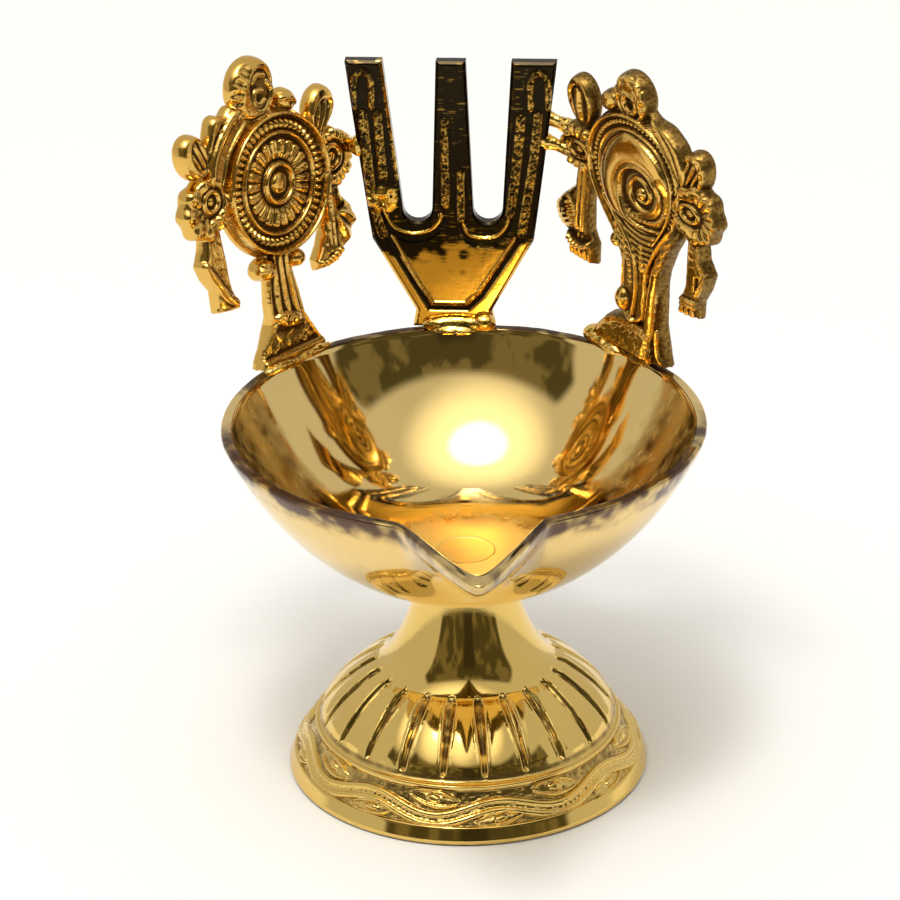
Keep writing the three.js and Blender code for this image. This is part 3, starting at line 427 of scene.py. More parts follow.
class Relief:
    """A flat casting seen from its front: a signed outline, a front and a back over a fine grid."""

    def __init__(self, low, high, step, front_edge=FRONT_EDGE, back_edge=BACK_EDGE):
        across = np.arange(low[0], high[0] + step, step)
        up = np.arange(low[1], high[1] + step, step)
        self.u, self.v = np.meshgrid(across, up, indexing="ij")
        self.step = step
        self.edges = (front_edge, back_edge)
        self.outline = np.full(self.u.shape, 50.0)
        self.front = np.full(self.u.shape, front_edge)
        self.back = np.full(self.u.shape, back_edge)
        self.dark = np.zeros(self.u.shape)
        self.tarnish = np.zeros(self.u.shape)
        self.polish = np.zeros(self.u.shape)

    def add(self, distance, height, soft=0.9, back=BACK):
        """Puts an element on: its signed distance, its front height inside, and how soft its edge is."""
        depth = np.clip(-distance / soft, 0, 1)
        roll = np.sqrt(1 - (1 - depth) ** 2)
        low = self.edges[0]
        raised = low + (height - low) * roll
        self.front = np.where(distance < 0, highest(self.front, raised), self.front)
        behind = self.edges[1] + (back - self.edges[1]) * roll
        self.back = np.where(distance < 0, np.minimum(self.back, behind), self.back)
        self.outline = np.minimum(self.outline, distance)

    def local(self, x, y, tilt):
        """Places measured from a point, along axes tilted by some degrees."""
        c, s = math.cos(math.radians(tilt)), math.sin(math.radians(tilt))
        du, dv = self.u - x, self.v - y
        return du * c + dv * s, dv * c - du * s


def ellipse(x, y, a, b):
    """Signed distance, roughly, to an ellipse, and how far out a point is as a share of it."""
    k = np.sqrt((x / a) ** 2 + (y / b) ** 2) + 1e-9
    slope = np.sqrt((x / a ** 2) ** 2 + (y / b ** 2) ** 2) + 1e-9
    return k * (k - 1) / slope, k


def blurred(field, mask, reach):
    """Mean of a field over a square of the given half width in cells, inside a mask."""
    size = 2 * reach + 1

    def box(values):
        for axis in (0, 1):
            first, last = (np.take(values, [end], axis) for end in (0, -1))
            padded = [np.repeat(first, reach + 1, axis), values, np.repeat(last, reach, axis)]
            total = np.cumsum(np.concatenate(padded, axis), axis)
            n = values.shape[axis]
            values = (np.take(total, range(size, size + n), axis) - np.take(total, range(n), axis)) / size
        return values

    return box(box(np.where(mask, field, 0))) / highest(box(box(mask.astype(float))), 1e-6)


def standing(bearing, turn, stand, lean=0.0, spin=0.0):
    """A function from an upright plane over the rim, leaned and spun, to the lamp's own millimetres."""
    out, facing, lean, spin = (math.radians(a) for a in (90 + bearing, turn, lean, spin))

    def place(u, v, w):
        u, v = u * math.cos(spin) - v * math.sin(spin), u * math.sin(spin) + v * math.cos(spin)
        v, w = v * math.cos(lean) + w * math.sin(lean), w * math.cos(lean) - v * math.sin(lean)
        x = stand * math.cos(out) + u * math.cos(facing) + w * math.sin(facing)
        y = stand * math.sin(out) + u * math.sin(facing) - w * math.cos(facing)
        return np.stack([x, y, highest(v, 0) + RIM_TOP + SEAT_GAP], -1)

    return place


def around_corners(grid):
    """The four cells that meet at each inner corner of a grid, going round."""
    return grid[:-1, :-1], grid[1:, :-1], grid[1:, 1:], grid[:-1, 1:]


def relief_mesh(relief, place, seed, rough=0.035, spin=0.0, wall=0.0):
    """Closed mesh of a relief: front, back and the wall between them along the snapped outline."""
    d = highest(relief.outline, -relief.v - relief.u * math.tan(math.radians(spin)))
    cells = sum(around_corners(d)) / 4 < 0
    # cells that only touch at a corner, or hang on by a thread, would leave a mesh that isn't closed
    for _ in range(12):
        around = around_corners(np.pad(cells, 1))
        count = sum(c.astype(int) for c in around)
        lone = (count == 2) & (around[0] == around[2])
        thin = np.logical_and.reduce(around_corners((count > 0) & (count < 4))) & cells
        if not lone.any() and not thin.any():
            break
        cells = cells & ~thin
        for i, j in zip(*np.nonzero(lone)):
            cells[max(i - 1, 0):i + 1, max(j - 1, 0):j + 1] = False
    padded = np.pad(cells, 1)
    count = sum(c.astype(int) for c in around_corners(padded))
    used, edge = count > 0, (count > 0) & (count < 4)
    gu, gv = np.gradient(d, relief.step)
    size = np.hypot(gu, gv) + 1e-6
    move = np.clip(d / size, -0.75 * relief.step, 0.75 * relief.step)
    u = relief.u - np.where(edge, move * gu / size, 0)
    v = relief.v - np.where(edge, move * gv / size, 0)
    spots = np.stack([u, v, 0 * u + seed * 7.3], -1)

    grain = noise3(spots, 0.42, seed) * rough + noise3(spots, 1.3, seed + 1) * rough
    fade = smooth(0, 0.5, -d)
    front = relief.front + grain * fade * (1 - relief.polish)
    back = relief.back + fade * (noise3(spots, 0.8, seed + 2) * 0.07 + noise3(spots, 3.0, seed + 3) * 0.1)
    front, back = (np.where(edge, level, face)[used] for level, face in zip(relief.edges, (front, back)))
    points = np.concatenate([place(u[used], v[used], front), place(u[used], v[used], back)])

    total = int(used.sum())
    index = np.full(d.shape, -1)
    index[used] = np.arange(total)
    ci, cj = np.nonzero(cells)
    a, b, c, e = (corner[cells] for corner in around_corners(index))
    faces = [np.stack([a, b, c, e], -1), np.stack([e, c, b, a], -1) + total]
    for first, second, di, dj in ((a, b, 0, -1), (b, c, 1, 0), (c, e, 0, 1), (e, a, -1, 0)):
        open_side = ~padded[ci + 1 + di, cj + 1 + dj]
        p, q = first[open_side], second[open_side]
        faces.append(np.stack([q, p, p + total, q + total], -1))

    # painted shade, with some tarnish, lies where the face is lower than its surroundings, near and wide
    near, wide = (
        blurred(relief.front, relief.outline < 0, max(least, int(round(reach / relief.step)))) - relief.front
        for least, reach in ((2, 0.55), (3, 1.3))
    )
    inward = smooth(0.25, 0.9, -d)
    # painted shade in the hollows, and a painted shade of its own on the side wall
    shade_and_grime = np.clip(near * 3.6 + wide * 1.2 + relief.dark, 0, 1) * inward + wall * (1 - inward)
    behind = 0.48 + 0.16 * noise3(spots, 4.2, seed + 4) + 0.12 * noise3(spots, 0.7, seed + 5)
    behind = behind * inward + wall * (1 - inward)
    # the back is stained too, in clouds of its own
    clouds = 9 * noise3(spots, 3.5, seed + 6) + 3 * noise3(spots, 0.9, seed + 7)
    stained = 0.85 * relief.tarnish.max() * smooth(6, 18, v + clouds)
    marks = {
        "shade_and_grime": np.concatenate([shade_and_grime[used], behind[used]]),
        "tarnish": np.concatenate([relief.tarnish[used], stained[used]]),
    }
    return points, np.concatenate(faces), marks


def curve(points, steps=5):
    """Points of a smooth line through the given ones."""
    p = np.asarray(points, float)
    p = np.concatenate([2 * p[:1] - p[1:2], p, 2 * p[-1:] - p[-2:-1]])
    t = np.linspace(0, 1, steps, endpoint=False)[:, None]
    out = [
        (2 * b + (c - a) * t + (2 * a - 5 * b + 4 * c - d) * t ** 2 + (3 * b - a - 3 * c + d) * t ** 3) / 2
        for a, b, c, d in zip(p[:-3], p[1:-2], p[2:-1], p[3:])
    ]
    return np.concatenate(out + [p[-2:-1]])


def near_line(u, v, points):
    """Distance to an open line, and how far along it the nearest place is, in mm."""
    best, along, run = np.full(u.shape, 1e9), np.zeros(u.shape), 0.0
    for (x0, y0), (x1, y1) in zip(points[:-1], points[1:]):
        dx, dy = x1 - x0, y1 - y0
        length = math.hypot(dx, dy)
        t = np.clip(((u - x0) * dx + (v - y0) * dy) / length ** 2, 0, 1)
        off = np.hypot(u - x0 - t * dx, v - y0 - t * dy)
        best, along = np.where(off < best, off, best), np.where(off < best, run + t * length, along)
        run += length
    return best, along


def outline_distance(u, v, corners):
    """Signed distance to a closed outline, and how far along it the nearest point is, in mm."""
    corners = np.concatenate([corners, corners[:1]])
    best, along = near_line(u, v, corners)
    inside = np.zeros(u.shape, bool)
    for (x0, y0), (x1, y1) in zip(corners[:-1], corners[1:]):
        inside ^= ((y0 > v) != (y1 > v)) & (u < (x1 - x0) * (v - y0) / (y1 - y0 + 1e-12) + x0)
    return np.where(inside, -best, best), along


def stroke(u, v, points, half, twist=0.0):
    """A raised line of the given half width, or a twisted one with the given spacing."""
    near, along = near_line(u, v, curve(points))
    plain = ridge(near, half)
    return plain * (0.72 + 0.28 * wave(along + near, twist)) if twist else plain


def dots(u, v, points, spacing, size):
    """Small round beads along a line."""
    near, along = near_line(u, v, curve(points))
    step = ((along / spacing) % 1.0 - 0.5) * spacing
    return ridge(np.hypot(step, near) / size, 1.0)


def put_bud(relief, x, y, width, height, tilt, bed, ribs=0, notches=None, knurls=0.0):
    """A fat bud with a sunk oval bed, ribs standing in it and notches or knurls cut in its border."""
    p, q = relief.local(x, y, tilt)
    distance, k = ellipse(p, q, width / 2, height / 2)
    border = smooth(0.5, 0.7, k) * smooth(1.02, 0.9, k) * (q > -0.1 * height)
    front = 0.25 + 0.95 * ridge(k, 1) + knurls * np.cos(np.arctan2(q + 0.3 * height, p) * 15) * border
    bx, by, ba, bb = bed
    _, b = ellipse(p - bx, q - by, ba, bb)
    front = front - 0.95 * smooth(1.15, 0.75, b)
    if ribs:
        spread = (p - bx) / ba * (1 - 0.28 * (q - by) / bb)
        front = front + (0.28 + 0.3 * np.cos(spread * math.pi * ribs)) * smooth(0.95, 0.7, b)
    if notches:
        near, along = near_line(relief.u, relief.v, curve(notches))
        cut = 0.5 + 0.5 * wave(along + (relief.u + relief.v) * 0.25, 1.1)
        front = front - 0.42 * smooth(1.5, 0.4, near) * cut
    relief.add(distance, FACE + front)


def put_fan(relief, x, y, radius, lobes, pleats, eye, rays=(-180, 180)):
    """A round fan: a scalloped border pleated over some angles, and an eye with a ring about it."""
    p, q = relief.u - x, relief.v - y
    reach, angle = np.hypot(p, q), np.arctan2(q, p)
    edge = radius * (1 + 0.05 * np.cos(lobes * angle))
    first, last = (smooth(ray - 12, ray + 12, np.degrees(angle)) for ray in rays)
    fold = 0.5 + 0.5 * np.cos(pleats * angle)
    border = 0.2 + 0.95 * ridge(reach / edge - 0.72, 0.34) * (1 - 0.42 * first * (1 - last) * (1 - fold))
    ex, ey, ea, eb = eye
    _, inner = ellipse(relief.u - ex, relief.v - ey, ea, eb)
    front = highest(np.where(inner < 2.0, 0.35, border), 0.85 * ridge(inner - 1.25, 0.42))
    front = np.where(inner < 0.8, 0.05 + 0.6 * ridge(inner, 0.62), front)
    relief.add(reach - edge, FACE + front, 0.8)
    # painted shade in the dip between the eye and its ring
    relief.dark += 0.5 * ((inner > 0.55) & (inner < 0.95))


def put_ball(relief, x, y, radius, height, flat, tilt=0.0):
    distance, k = ellipse(*relief.local(x, y, tilt), radius, radius * flat)
    relief.add(distance, height * ridge(k, 1) - 0.2, 0.5)


def sash(relief, stations, slant=0.0):
    """A hanging band cut level at its stations (place across, height, width, front), wide to narrow."""
    x, y, width, front = (np.array(c, float)[::-1] for c in zip(*stations))
    u, v = relief.u, relief.v
    level = v - slant * (u - np.interp(v, y, x))
    half = np.interp(level, y, width) / 2
    across = (u - np.interp(level, y, x)) / half
    distance = highest((np.abs(across) - 1) * half * 0.95, y[0] - level, level - y[-1])
    height = np.interp(level, y, front) + 0.45 * ridge(across, 1)
    return distance, height, across, level


def cords(relief, low, high, shift, half, starts):
    """Straight cords that run up a sash, each from its place at the low height."""
    return highest(*(ridge(relief.u - np.interp(relief.v, [low, high], [x, x + shift]), half) for x in starts))


WHEEL, PETALS = (2.9, 29.1), 22


def chakra():
    relief = Relief((-20.6, -0.8), (22.5, 51.4), EMBLEM_STEP)
    u, v = relief.u, relief.v
    notches = [(-1, 48.4), (-2.7, 46.8), (-3.6, 44.8), (-4.1, 42.4)]
    put_bud(relief, 0.7, 45.3, 10.2, 10.4, 4, (1.6, -0.5, 3.1, 3.5), notches=notches)
    relief.front += 0.6 * highest(
        stroke(u, v, [(2.9, 42.8), (1.4, 42.4), (0.3, 43.4), (0.9, 44.7), (2.3, 44.5)], 0.5),
        0.8 * stroke(u, v, [(0.6, 46.4), (1.8, 47.2), (3.4, 46.8)], 0.5),
        0.8 * stroke(u, v, [(4, 45.6), (4.9, 44.2), (4.7, 42.8)], 0.45),
    )
    put_bud(relief, 15.4, 37.5, 6.4, 8.4, -22, (0.5, -0.9, 2.3, 3.0), ribs=4)
    put_bud(relief, -14.2, 38.3, 6.4, 8.0, 24, (0.9, -0.3, 2.0, 2.8), ribs=3)

    # leaves at the shoulders of the wheel, and a fan at each side
    r, angle = np.hypot(u - WHEEL[0], v - WHEEL[1]), np.arctan2(v - WHEEL[1], u - WHEEL[0])
    leaf, _ = outline_distance(u, v, curve([
        (-12.2, 34), (-11.5, 38), (-10.6, 41), (-9.7, 42.9), (-8.4, 43.5), (-6.6, 43), (-4.6, 44), (-1.6, 41),
        (-6.5, 36.5), (-9.4, 31.5), (-11.5, 31.5),
    ]))
    band = 0.5 + 0.75 * ridge(r - 15.4, 0.75) + 0.5 * ridge(r - 12.4, 0.5) + 0.25 * ridge(r - 17.6, 1.0)
    knurl = stroke(u, v, [(-8.2, 40), (-6, 41.6), (-3.6, 42.6), (-1.2, 42.2)], 1.2, 1.5)
    relief.add(leaf, FACE + highest(band, 1.1 * knurl))
    put_ball(relief, 7.9, 41.3, 2.4, 1.7, 0.85, -25)
    relief.front += 0.35 * stroke(u, v, [(6, 42.2), (8.2, 41.9), (9.8, 40.5)], 0.5)
    put_ball(relief, -9.4, 36.8, 2.6, 1.1, 1.2, -20)
    put_fan(relief, 16.4, 29.2, 5.0, 9, 22, (16.3, 29.4, 1.5, 1.5))
    put_fan(relief, -13.4, 29.5, 5.1, 8, 8, (-12.3, 30.6, 1.3, 1.3), (-200, 200))
    seeds = [(-15, 31.6), (-15.1, 29.4), (-13.8, 27.8), (-11.8, 27.4), (-10, 28.3)]
    relief.front += 0.35 * dots(u, v, seeds, 1.25, 0.55)

    # right sash, with cords up it, pleats fanned to its right and a twisted hem
    distance, height, _, _ = sash(relief, [
        (15.2, 26, 3.6, 0.4), (15.6, 22.4, 4.4, 0.6), (16.3, 20.4, 6.6, 0.7), (16.2, 17.8, 7.6, 0.7),
        (14.8, 15.4, 7, 0.6), (12.9, 13.6, 6, 0.7), (12.7, 11.8, 5.4, 0.4),
    ])
    swing = np.arctan2(u - 14.2, 21.6 - v)
    fans = (0.45 + 0.3 * np.cos(swing * 13)) * smooth(14.9, 15.6, u) * smooth(20.6, 19.6, v) * smooth(13.2, 14.2, v)
    hem = stroke(u, v, [(9.4, 13.3), (11, 12.7), (13.2, 13.1), (15.3, 14.1)], 0.62, 0.9)
    lines = cords(relief, 13, 26, 0.8, 0.26, (12.2, 13.1, 14)) * (v > 14.2)
    relief.add(distance, height + highest(0.45 * lines, fans, 0.9 * hem), 0.8)

    # left sash, folded over from the left edge
    distance, height, _, _ = sash(relief, [
        (-12.6, 26.6, 3.8, 0.4), (-12.9, 22.8, 4.8, 0.6), (-13.4, 20.4, 6.2, 0.7), (-12.9, 17.9, 5.4, 0.6),
        (-11.9, 15.8, 4.2, 0.5), (-11.6, 14, 4.8, 0.6), (-11.4, 12, 5.2, 0.4),
    ], -0.15)
    folds = highest(
        0.75 * stroke(u, v, [(-15.9, 20.9), (-14.4, 18.6), (-12.9, 16.2), (-11.4, 14.3), (-9.8, 13.2)], 0.8),
        0.25 * stroke(u, v, [(-14.4, 25), (-14.6, 22.4), (-15.2, 20.6)], 0.7),
        0.5 * stroke(u, v, [(-13.7, 12.6), (-11.4, 12.1), (-9.2, 12.4)], 0.5),
    )
    relief.add(distance, height + folds, 0.8)

    # fluted column with a ball at each side of its head
    stations = [(1.2, 19, 6.2, 0.5), (1.25, 14, 6.1, 0.5), (1.35, 10.2, 7.4, 0.6), (1.5, 6.6, 8, 0.8)]
    distance, height, across, _ = sash(relief, stations)
    relief.add(distance, height + 0.34 * np.cos(across * math.pi * 4), 0.7)
    put_ball(relief, -2.2, 16, 2.3, 2.5, 0.85)
    put_ball(relief, 5.2, 15.8, 1.8, 2.3, 0.95)
    relief.front -= 0.35 * stroke(u, v, [(-4, 17), (-2.2, 16.5), (-0.6, 17)], 0.4)

    # the wheel: rings from its border inwards, a ring of petals and a boss
    relief.add(r - 12.3, FACE - 0.1)
    milled = 0.5 + 0.5 * np.cos(52 * angle)
    petal = ((angle / (2 * math.pi) * PETALS) % 1.0 - 0.5) * 2
    petal_end = smooth(7.35, 6.9, r + 0.55 * petal ** 2) * smooth(3.7, 4.1, r)
    vein = 0.15 + 0.62 * ridge(petal, 0.93) * smooth(3.6, 5.2, r) - 0.22 * ridge(petal, 0.2)
    rings = highest(
        1.35 * ridge(r - 11.25, 0.45), (0.18 + 0.72 * milled) * ridge(r - 9.55, 0.8), 0.85 * ridge(r - 8.15, 0.36),
        petal_end * vein, ridge(r - 3.1, 0.48), np.where(r < 1.7, 0.35 + 0.7 * ridge(r, 1.7), 0),
    )
    relief.add(np.where(r < 11.7, r - 11.7, 50), FACE + 0.5 + rings, 0.35)

    # the skirt that stands on the rim, ridged down its left side
    half = np.interp(v, [-1, 1.2, 2.6, 7.6], [8.1, 7.3, 6.3, 3.4])
    across = (u - 1.5) / half
    distance = highest((np.abs(across) - 1) * half, v - 7.6)
    rim = highest(
        0.75 * stroke(u, v, [(-1.4, 6.8), (-3.8, 4.4), (-6.2, 1.6)], 0.6),
        0.5 * ridge((across - 0.92) * half, 0.45), 0.85 * ridge(v - 0.75, 0.75),
    )
    crust = flat_noise(u, v, 0.9, 31) * 0.3 + flat_noise(u, v, 0.35, 32) * 0.14
    inside = smooth(0.9, 0.75, across) * smooth(1.4, 2, v) * smooth(-1.1, -0.5, u + 6.8 - v)
    relief.add(distance, 0.55 + highest(rim, crust * inside), 0.6, back=-2.0)
    relief.dark += np.where(distance < 0, 0.35 * inside * (0.7 + crust * 2.2), 0)
    smear = np.hypot((u - 1.4) / 3.6, (v - 6.7 + 0.25 * (u - 1.4)) / 1.5)
    melted = 1.15 + 0.75 * ridge(smear, 1) + crust * 0.5
    relief.add(np.where(smear < 1, -1.5 * (1 - smear), 50), melted, 0.4)
    return relief


SHELL, WHORL = (0.5, 32.6), (3.7, 30.8)

# The conch: its outline as lines and curves, the line of its whorl and the two cords down its neck
CONCH_OUTLINE = [
    ((-1.6, 8), (1.6, 5.2), (4.8, 8)), ((4.8, 8), (5.2, 16.6)),
    ((5.2, 16.6), (6, 21.1), (11.7, 24.1), (11.7, 32.6)), ((11.7, 32.6), (11.7, 38.2), (6.5, 42.5), (-0.1, 42.5)),
    ((-0.1, 42.5), (-6.1, 42.5), (-10.7, 38.2), (-10.7, 32.6)),
    ((-10.7, 32.6), (-10.7, 25.6), (-3.8, 23.1), (-1.4, 16.6)), ((-1.4, 16.6), (-1.6, 8)),
]
SPIRAL = [
    (11, 27.6), (9.2, 25.8), (6.4, 24.8), (3.6, 24.7), (1.4, 25.7), (-0.2, 27.5), (-0.9, 29.8), (-0.7, 32.4),
    (0.5, 34.2), (2.9, 35.1), (5.5, 34.6), (7.1, 33), (7.4, 30.8), (6.5, 28.8), (4.4, 27.9), (2.3, 28.6),
    (1.1, 30.3), (1.4, 32.2), (3, 33.3), (4.8, 32.7), (5.7, 31), (4.7, 29.6), (3.1, 29.8),
]
LEFT_CHANNEL = [
    (-7.9, 31.2), (-7.6, 29.8), (-6.4, 27.5), (-3.6, 24.8), (-0.5, 22.1), (1.6, 19.4), (2.4, 16.6), (2.6, 13),
    (2.3, 10.3), (1.9, 8.2),
]
RIGHT_CHANNEL = [
    (10.6, 26.8), (9.1, 25.3), (6.8, 21.6), (5.2, 17.5), (4.8, 13), (4.5, 9.4), (3.4, 7.6), (1.9, 7.2), (0.9, 8),
]


def shankha():
    relief = Relief((-19.2, -1.6), (22.4, 51), EMBLEM_STEP)
    u, v = relief.u, relief.v
    put_bud(relief, -0.9, 45.5, 8.6, 8.6, 0, (-0.2, -1.4, 2.6, 2.3), knurls=0.13)
    _, hole = ellipse(u + 1.1, v - 44.5, 1.05, 1.05)
    relief.front += np.where(hole < 3, 0.75 * ridge(hole - 1.5, 0.6) - 0.5 * smooth(1.1, 0.6, hole), 0)
    # painted shade in the hole
    relief.dark += 0.9 * (hole < 0.95)
    for k, x in enumerate((2.0, 3.0, 4.0)):
        rib = [(x - 1.0, 48.4 - 0.9 * k), (x - 0.3, 46.4 - 0.8 * k), (x, 44.2 - 0.5 * k)]
        relief.front += 0.3 * stroke(u, v, rib, 0.4)
    relief.front += 0.25 * stroke(u, v, [(-2.6, 48.4), (-0.6, 49), (1.6, 48.6)], 0.6, 1.1)
    put_bud(relief, -13.3, 39.9, 6.8, 8.8, 10, (-0.3, -0.6, 2.6, 3.4), ribs=2)
    put_bud(relief, 14.3, 38.4, 6.2, 8.2, -22, (-0.4, -0.9, 2.3, 3.0), ribs=4, knurls=0.12)
    put_ball(relief, -6.6, 42.6, 2.3, 1.5, 0.8, 30)
    shoulder, _ = outline_distance(u, v, curve([
        (2.5, 45), (4.5, 43.9), (7.6, 43.6), (9.6, 42.6), (11.4, 41.2), (13, 38), (12, 34), (9, 38), (5, 41),
    ]))
    away = np.hypot(u - SHELL[0], v - SHELL[1])
    relief.add(shoulder, FACE + 0.4 + 0.7 * ridge(away - 12.6, 0.9) + 0.4 * ridge(away - 10.8, 0.8))
    put_fan(relief, 15.2, 31.6, 5.2, 8, 17, (13.9, 31.4, 1.6, 1.1), (-70, 75))
    put_fan(relief, -13.3, 31.7, 4.2, 6, 12, (-13.2, 31.4, 1.9, 1.0))
    put_ball(relief, -3.2, 19.3, 1.6, 2.0, 0.95)

    # right sash, plain at its left, with a slit, a folded elbow and a hem of two cords
    distance, height, across, level = sash(relief, [
        (14.9, 28.4, 3.6, 0.4), (15.3, 23.9, 4.2, 0.6), (16.1, 21.5, 5.8, 0.7), (15.6, 18.6, 5, 0.6),
        (14.4, 16, 4.6, 0.5), (14.2, 14.6, 4.8, 0.6), (13.9, 12.9, 5.4, 0.4),
    ], 0.12)
    fold = 0.7 * stroke(u, v, [(16.6, 26.2), (17.4, 24), (18.7, 22.6), (18.1, 20.6), (16.6, 18.2)], 0.6)
    slit = 0.6 * smooth(0.5, 0.2, np.abs(u - 16.3)) * smooth(18.2, 18.8, v) * smooth(21.2, 20.4, v)
    hem = 0.65 * ridge(level - 16.1, 0.45) + 0.35 * ridge(level - 15.2, 0.4)
    flutes = 0.3 * np.cos(across * math.pi * 4) * smooth(14.8, 14.4, level)
    relief.add(distance, height + highest(fold, hem) - slit + flutes, 0.8)

    # left sash, pleated down its right side, with a fan at its left and a fluted foot below its hem
    distance, height, _, _ = sash(relief, [
        (-12, 29.4, 3.4, 0.4), (-12.4, 24.4, 3.8, 0.6), (-13.7, 22, 6.2, 0.7), (-14.5, 19.8, 8, 0.7),
        (-14, 17.1, 7.2, 0.6), (-12.3, 15, 6.4, 0.7), (-12.2, 11.6, 6.2, 0.4),
    ])
    puff = np.hypot((u + 15.4) / 2.9, (v - 19.4) / 3.0)
    puff_front = (0.75 * ridge(puff, 1) + 0.06 * wave(v - u * 0.5, 1)) * (puff < 1)
    hem = 0.9 * stroke(u, v, [(-15.6, 15), (-13.8, 14.2), (-11.4, 14.4), (-9.2, 15.6)], 0.5, 0.9)
    flutes = 0.36 * wave(u, 1.1) * smooth(13.9, 13.5, v)
    sunk = 0.7 * smooth(1.15, 0.8, np.hypot((u + 12.7) / 3.2, (v - 15.9) / 1.1))
    lines = cords(relief, 15, 28, 0.5, 0.3, (-12.9, -11.9, -10.9, -9.9)) * (v > 15.4)
    relief.add(distance, height + highest(0.4 * lines, puff_front, hem) + flutes - sunk * (hem < 0.1), 0.8)
    # painted shade in the sunk hollow beside the hem
    relief.dark += np.where(sunk > 0.3, 0.7, 0) * (v > 15)

    # the stem behind, ending in a foot to the right of the block
    distance, height, _, _ = sash(relief, [
        (5.6, 22, 4.4, 0.1), (5.6, 15, 4.2, 0.1), (5.6, 8, 4.4, 0.3), (6.4, 2.8, 5.2, 0.4), (7.2, -1.6, 6.8, 0.5),
    ])
    ribs = 0.12 * wave(v, 1.15) * smooth(12.5, 14.5, v)
    relief.add(distance, height + ribs, 0.8, back=-1.7)
    relief.front += 0.5 * stroke(u, v, [(7.2, 6.8), (7.4, 4), (8.2, 2.2), (10, 1.4)], 0.5) * (distance < 0)

    # the shell: a beaded border round its whorl
    outline = np.concatenate([arc(16 if part[2:] else 1, *part, end=False) for part in CONCH_OUTLINE])
    distance, along = outline_distance(u, v, outline)
    depth = -distance
    relief.add(distance - 0.5, FACE - 0.1)
    bearings, widths = np.radians([-180, -150, -60, 0, 90, 135, 180]), [2.7, 2.5, 1.6, 1.7, 2.1, 2.6, 2.7]
    wide = np.interp(np.arctan2(v - SHELL[1], u - SHELL[0]), bearings, widths)
    edge_line = 0.95 * ridge(depth - 0.38, 0.4)
    beads = ridge(np.hypot(((along / 1.05) % 1.0 - 0.5) * 1.05 / 0.42, (depth - 0.35 - wide / 2) / 0.42), 1)
    border = highest(
        1.05 * ridge(depth - 0.38, 0.4), 0.95 * ridge(depth - 0.35 - wide, 0.36), 0.15 + 0.5 * beads)
    _, k = ellipse(u - 0.9, v - 32, 9.2, 8.6)
    dome = 0.3 + 1.3 * ridge(k, 1)
    # a fat smooth tube lies round the spiral on its left and over it
    x, y = u - WHORL[0], v - WHORL[1]
    reach, turn = np.hypot(x, y), np.arctan2(y, x) % (2 * math.pi)
    tube_r = np.interp(turn, np.radians([0, 60, 120, 180, 240, 300, 360]), [5.6, 6.6, 7.2, 7.6, 7.2, 5.4, 5.2])
    within = smooth(wide + 0.2, wide + 0.9, depth)
    relief.polish = 0.95 * within * smooth(22, 24, v)
    tube = 0.95 * ridge(reach - tube_r, 2.9) * smooth(0.2, 0.9, turn) * smooth(4.9, 4.1, turn)
    coils = 0.5 * ridge(np.abs(reach - 3.5), 1.0) * (reach < 4.7)
    seeds = [(-0.1, 28.7), (1.3, 26.9), (3.4, 26.1), (5.6, 26.2), (7.4, 27.2), (8.6, 28.6)]
    core = 0.8 * np.sqrt(np.clip(1 - reach ** 2 / 1.2, 0, 1))
    whorl = dome + tube - 0.25 * (reach < 4.7) + highest(
        0.62 * stroke(u, v, SPIRAL, 0.36), 0.4 * dots(u, v, seeds, 0.85, 0.34), coils * 0.5, core)
    # its ribbed neck, with a cord and pearls down each side
    waves = wave(np.hypot(u - 3.2, v - 30.5), 0.95)
    neck = 0.95 + 0.17 * waves * smooth(16.5, 19, v) * smooth(26.5, 24.5, v)
    neck = neck + 0.3 * stroke(u, v, [(3.2, 21), (3.4, 19), (3.6, 17)], 0.5, 0.7)
    tail, upper = smooth(25.2, 23.6, v + 0.1 * (u - 2)), smooth(21.5, 23, v)
    inside = whorl * (1 - tail) + neck * tail
    shell = np.where(depth < wide + 0.7, highest(border, inside * within), inside)
    shell = shell * upper + np.where(depth < 0.8, edge_line, inside) * (1 - upper)
    channel = highest(0.95 * stroke(u, v, LEFT_CHANNEL, 0.4), 0.8 * stroke(u, v, RIGHT_CHANNEL, 0.38))
    pearls = dots(u, v, [(-3.4, 22.9), (-1.4, 20.8), (0, 18.4), (0.8, 15.8), (1, 13)], 1.0, 0.46)
    beside = highest(0.75 * pearls + 0.5 * (pearls > 0), channel + 0.55 * (channel > 0))
    relief.add(distance, FACE + highest(shell, np.where(v < 27, beside, 0), 0.7 * channel), 0.3)
    roll = 0.75 * ridge(np.abs(u - np.interp(v, [8, 13, 17.5, 21.6, 25.3], [5.6, 6, 6.8, 8.4, 10.4])), 1.1)
    hatched = 0.88 + 0.12 * wave(v - u, 1.2) * smooth(16.5, 18.5, v)
    roll = roll * smooth(27, 24, v) * hatched
    relief.add(np.where(roll > 0.02, highest(-0.8 * roll, -0.8), 50), FACE + 0.5 + roll, 0.3)
    put_ball(relief, -0.5, 9.9, 2.0, 3.0, 1.25)
    relief.front += 0.5 * stroke(u, v, [(-1.4, 7.2), (0.4, 6.6), (2, 7.1)], 0.6)

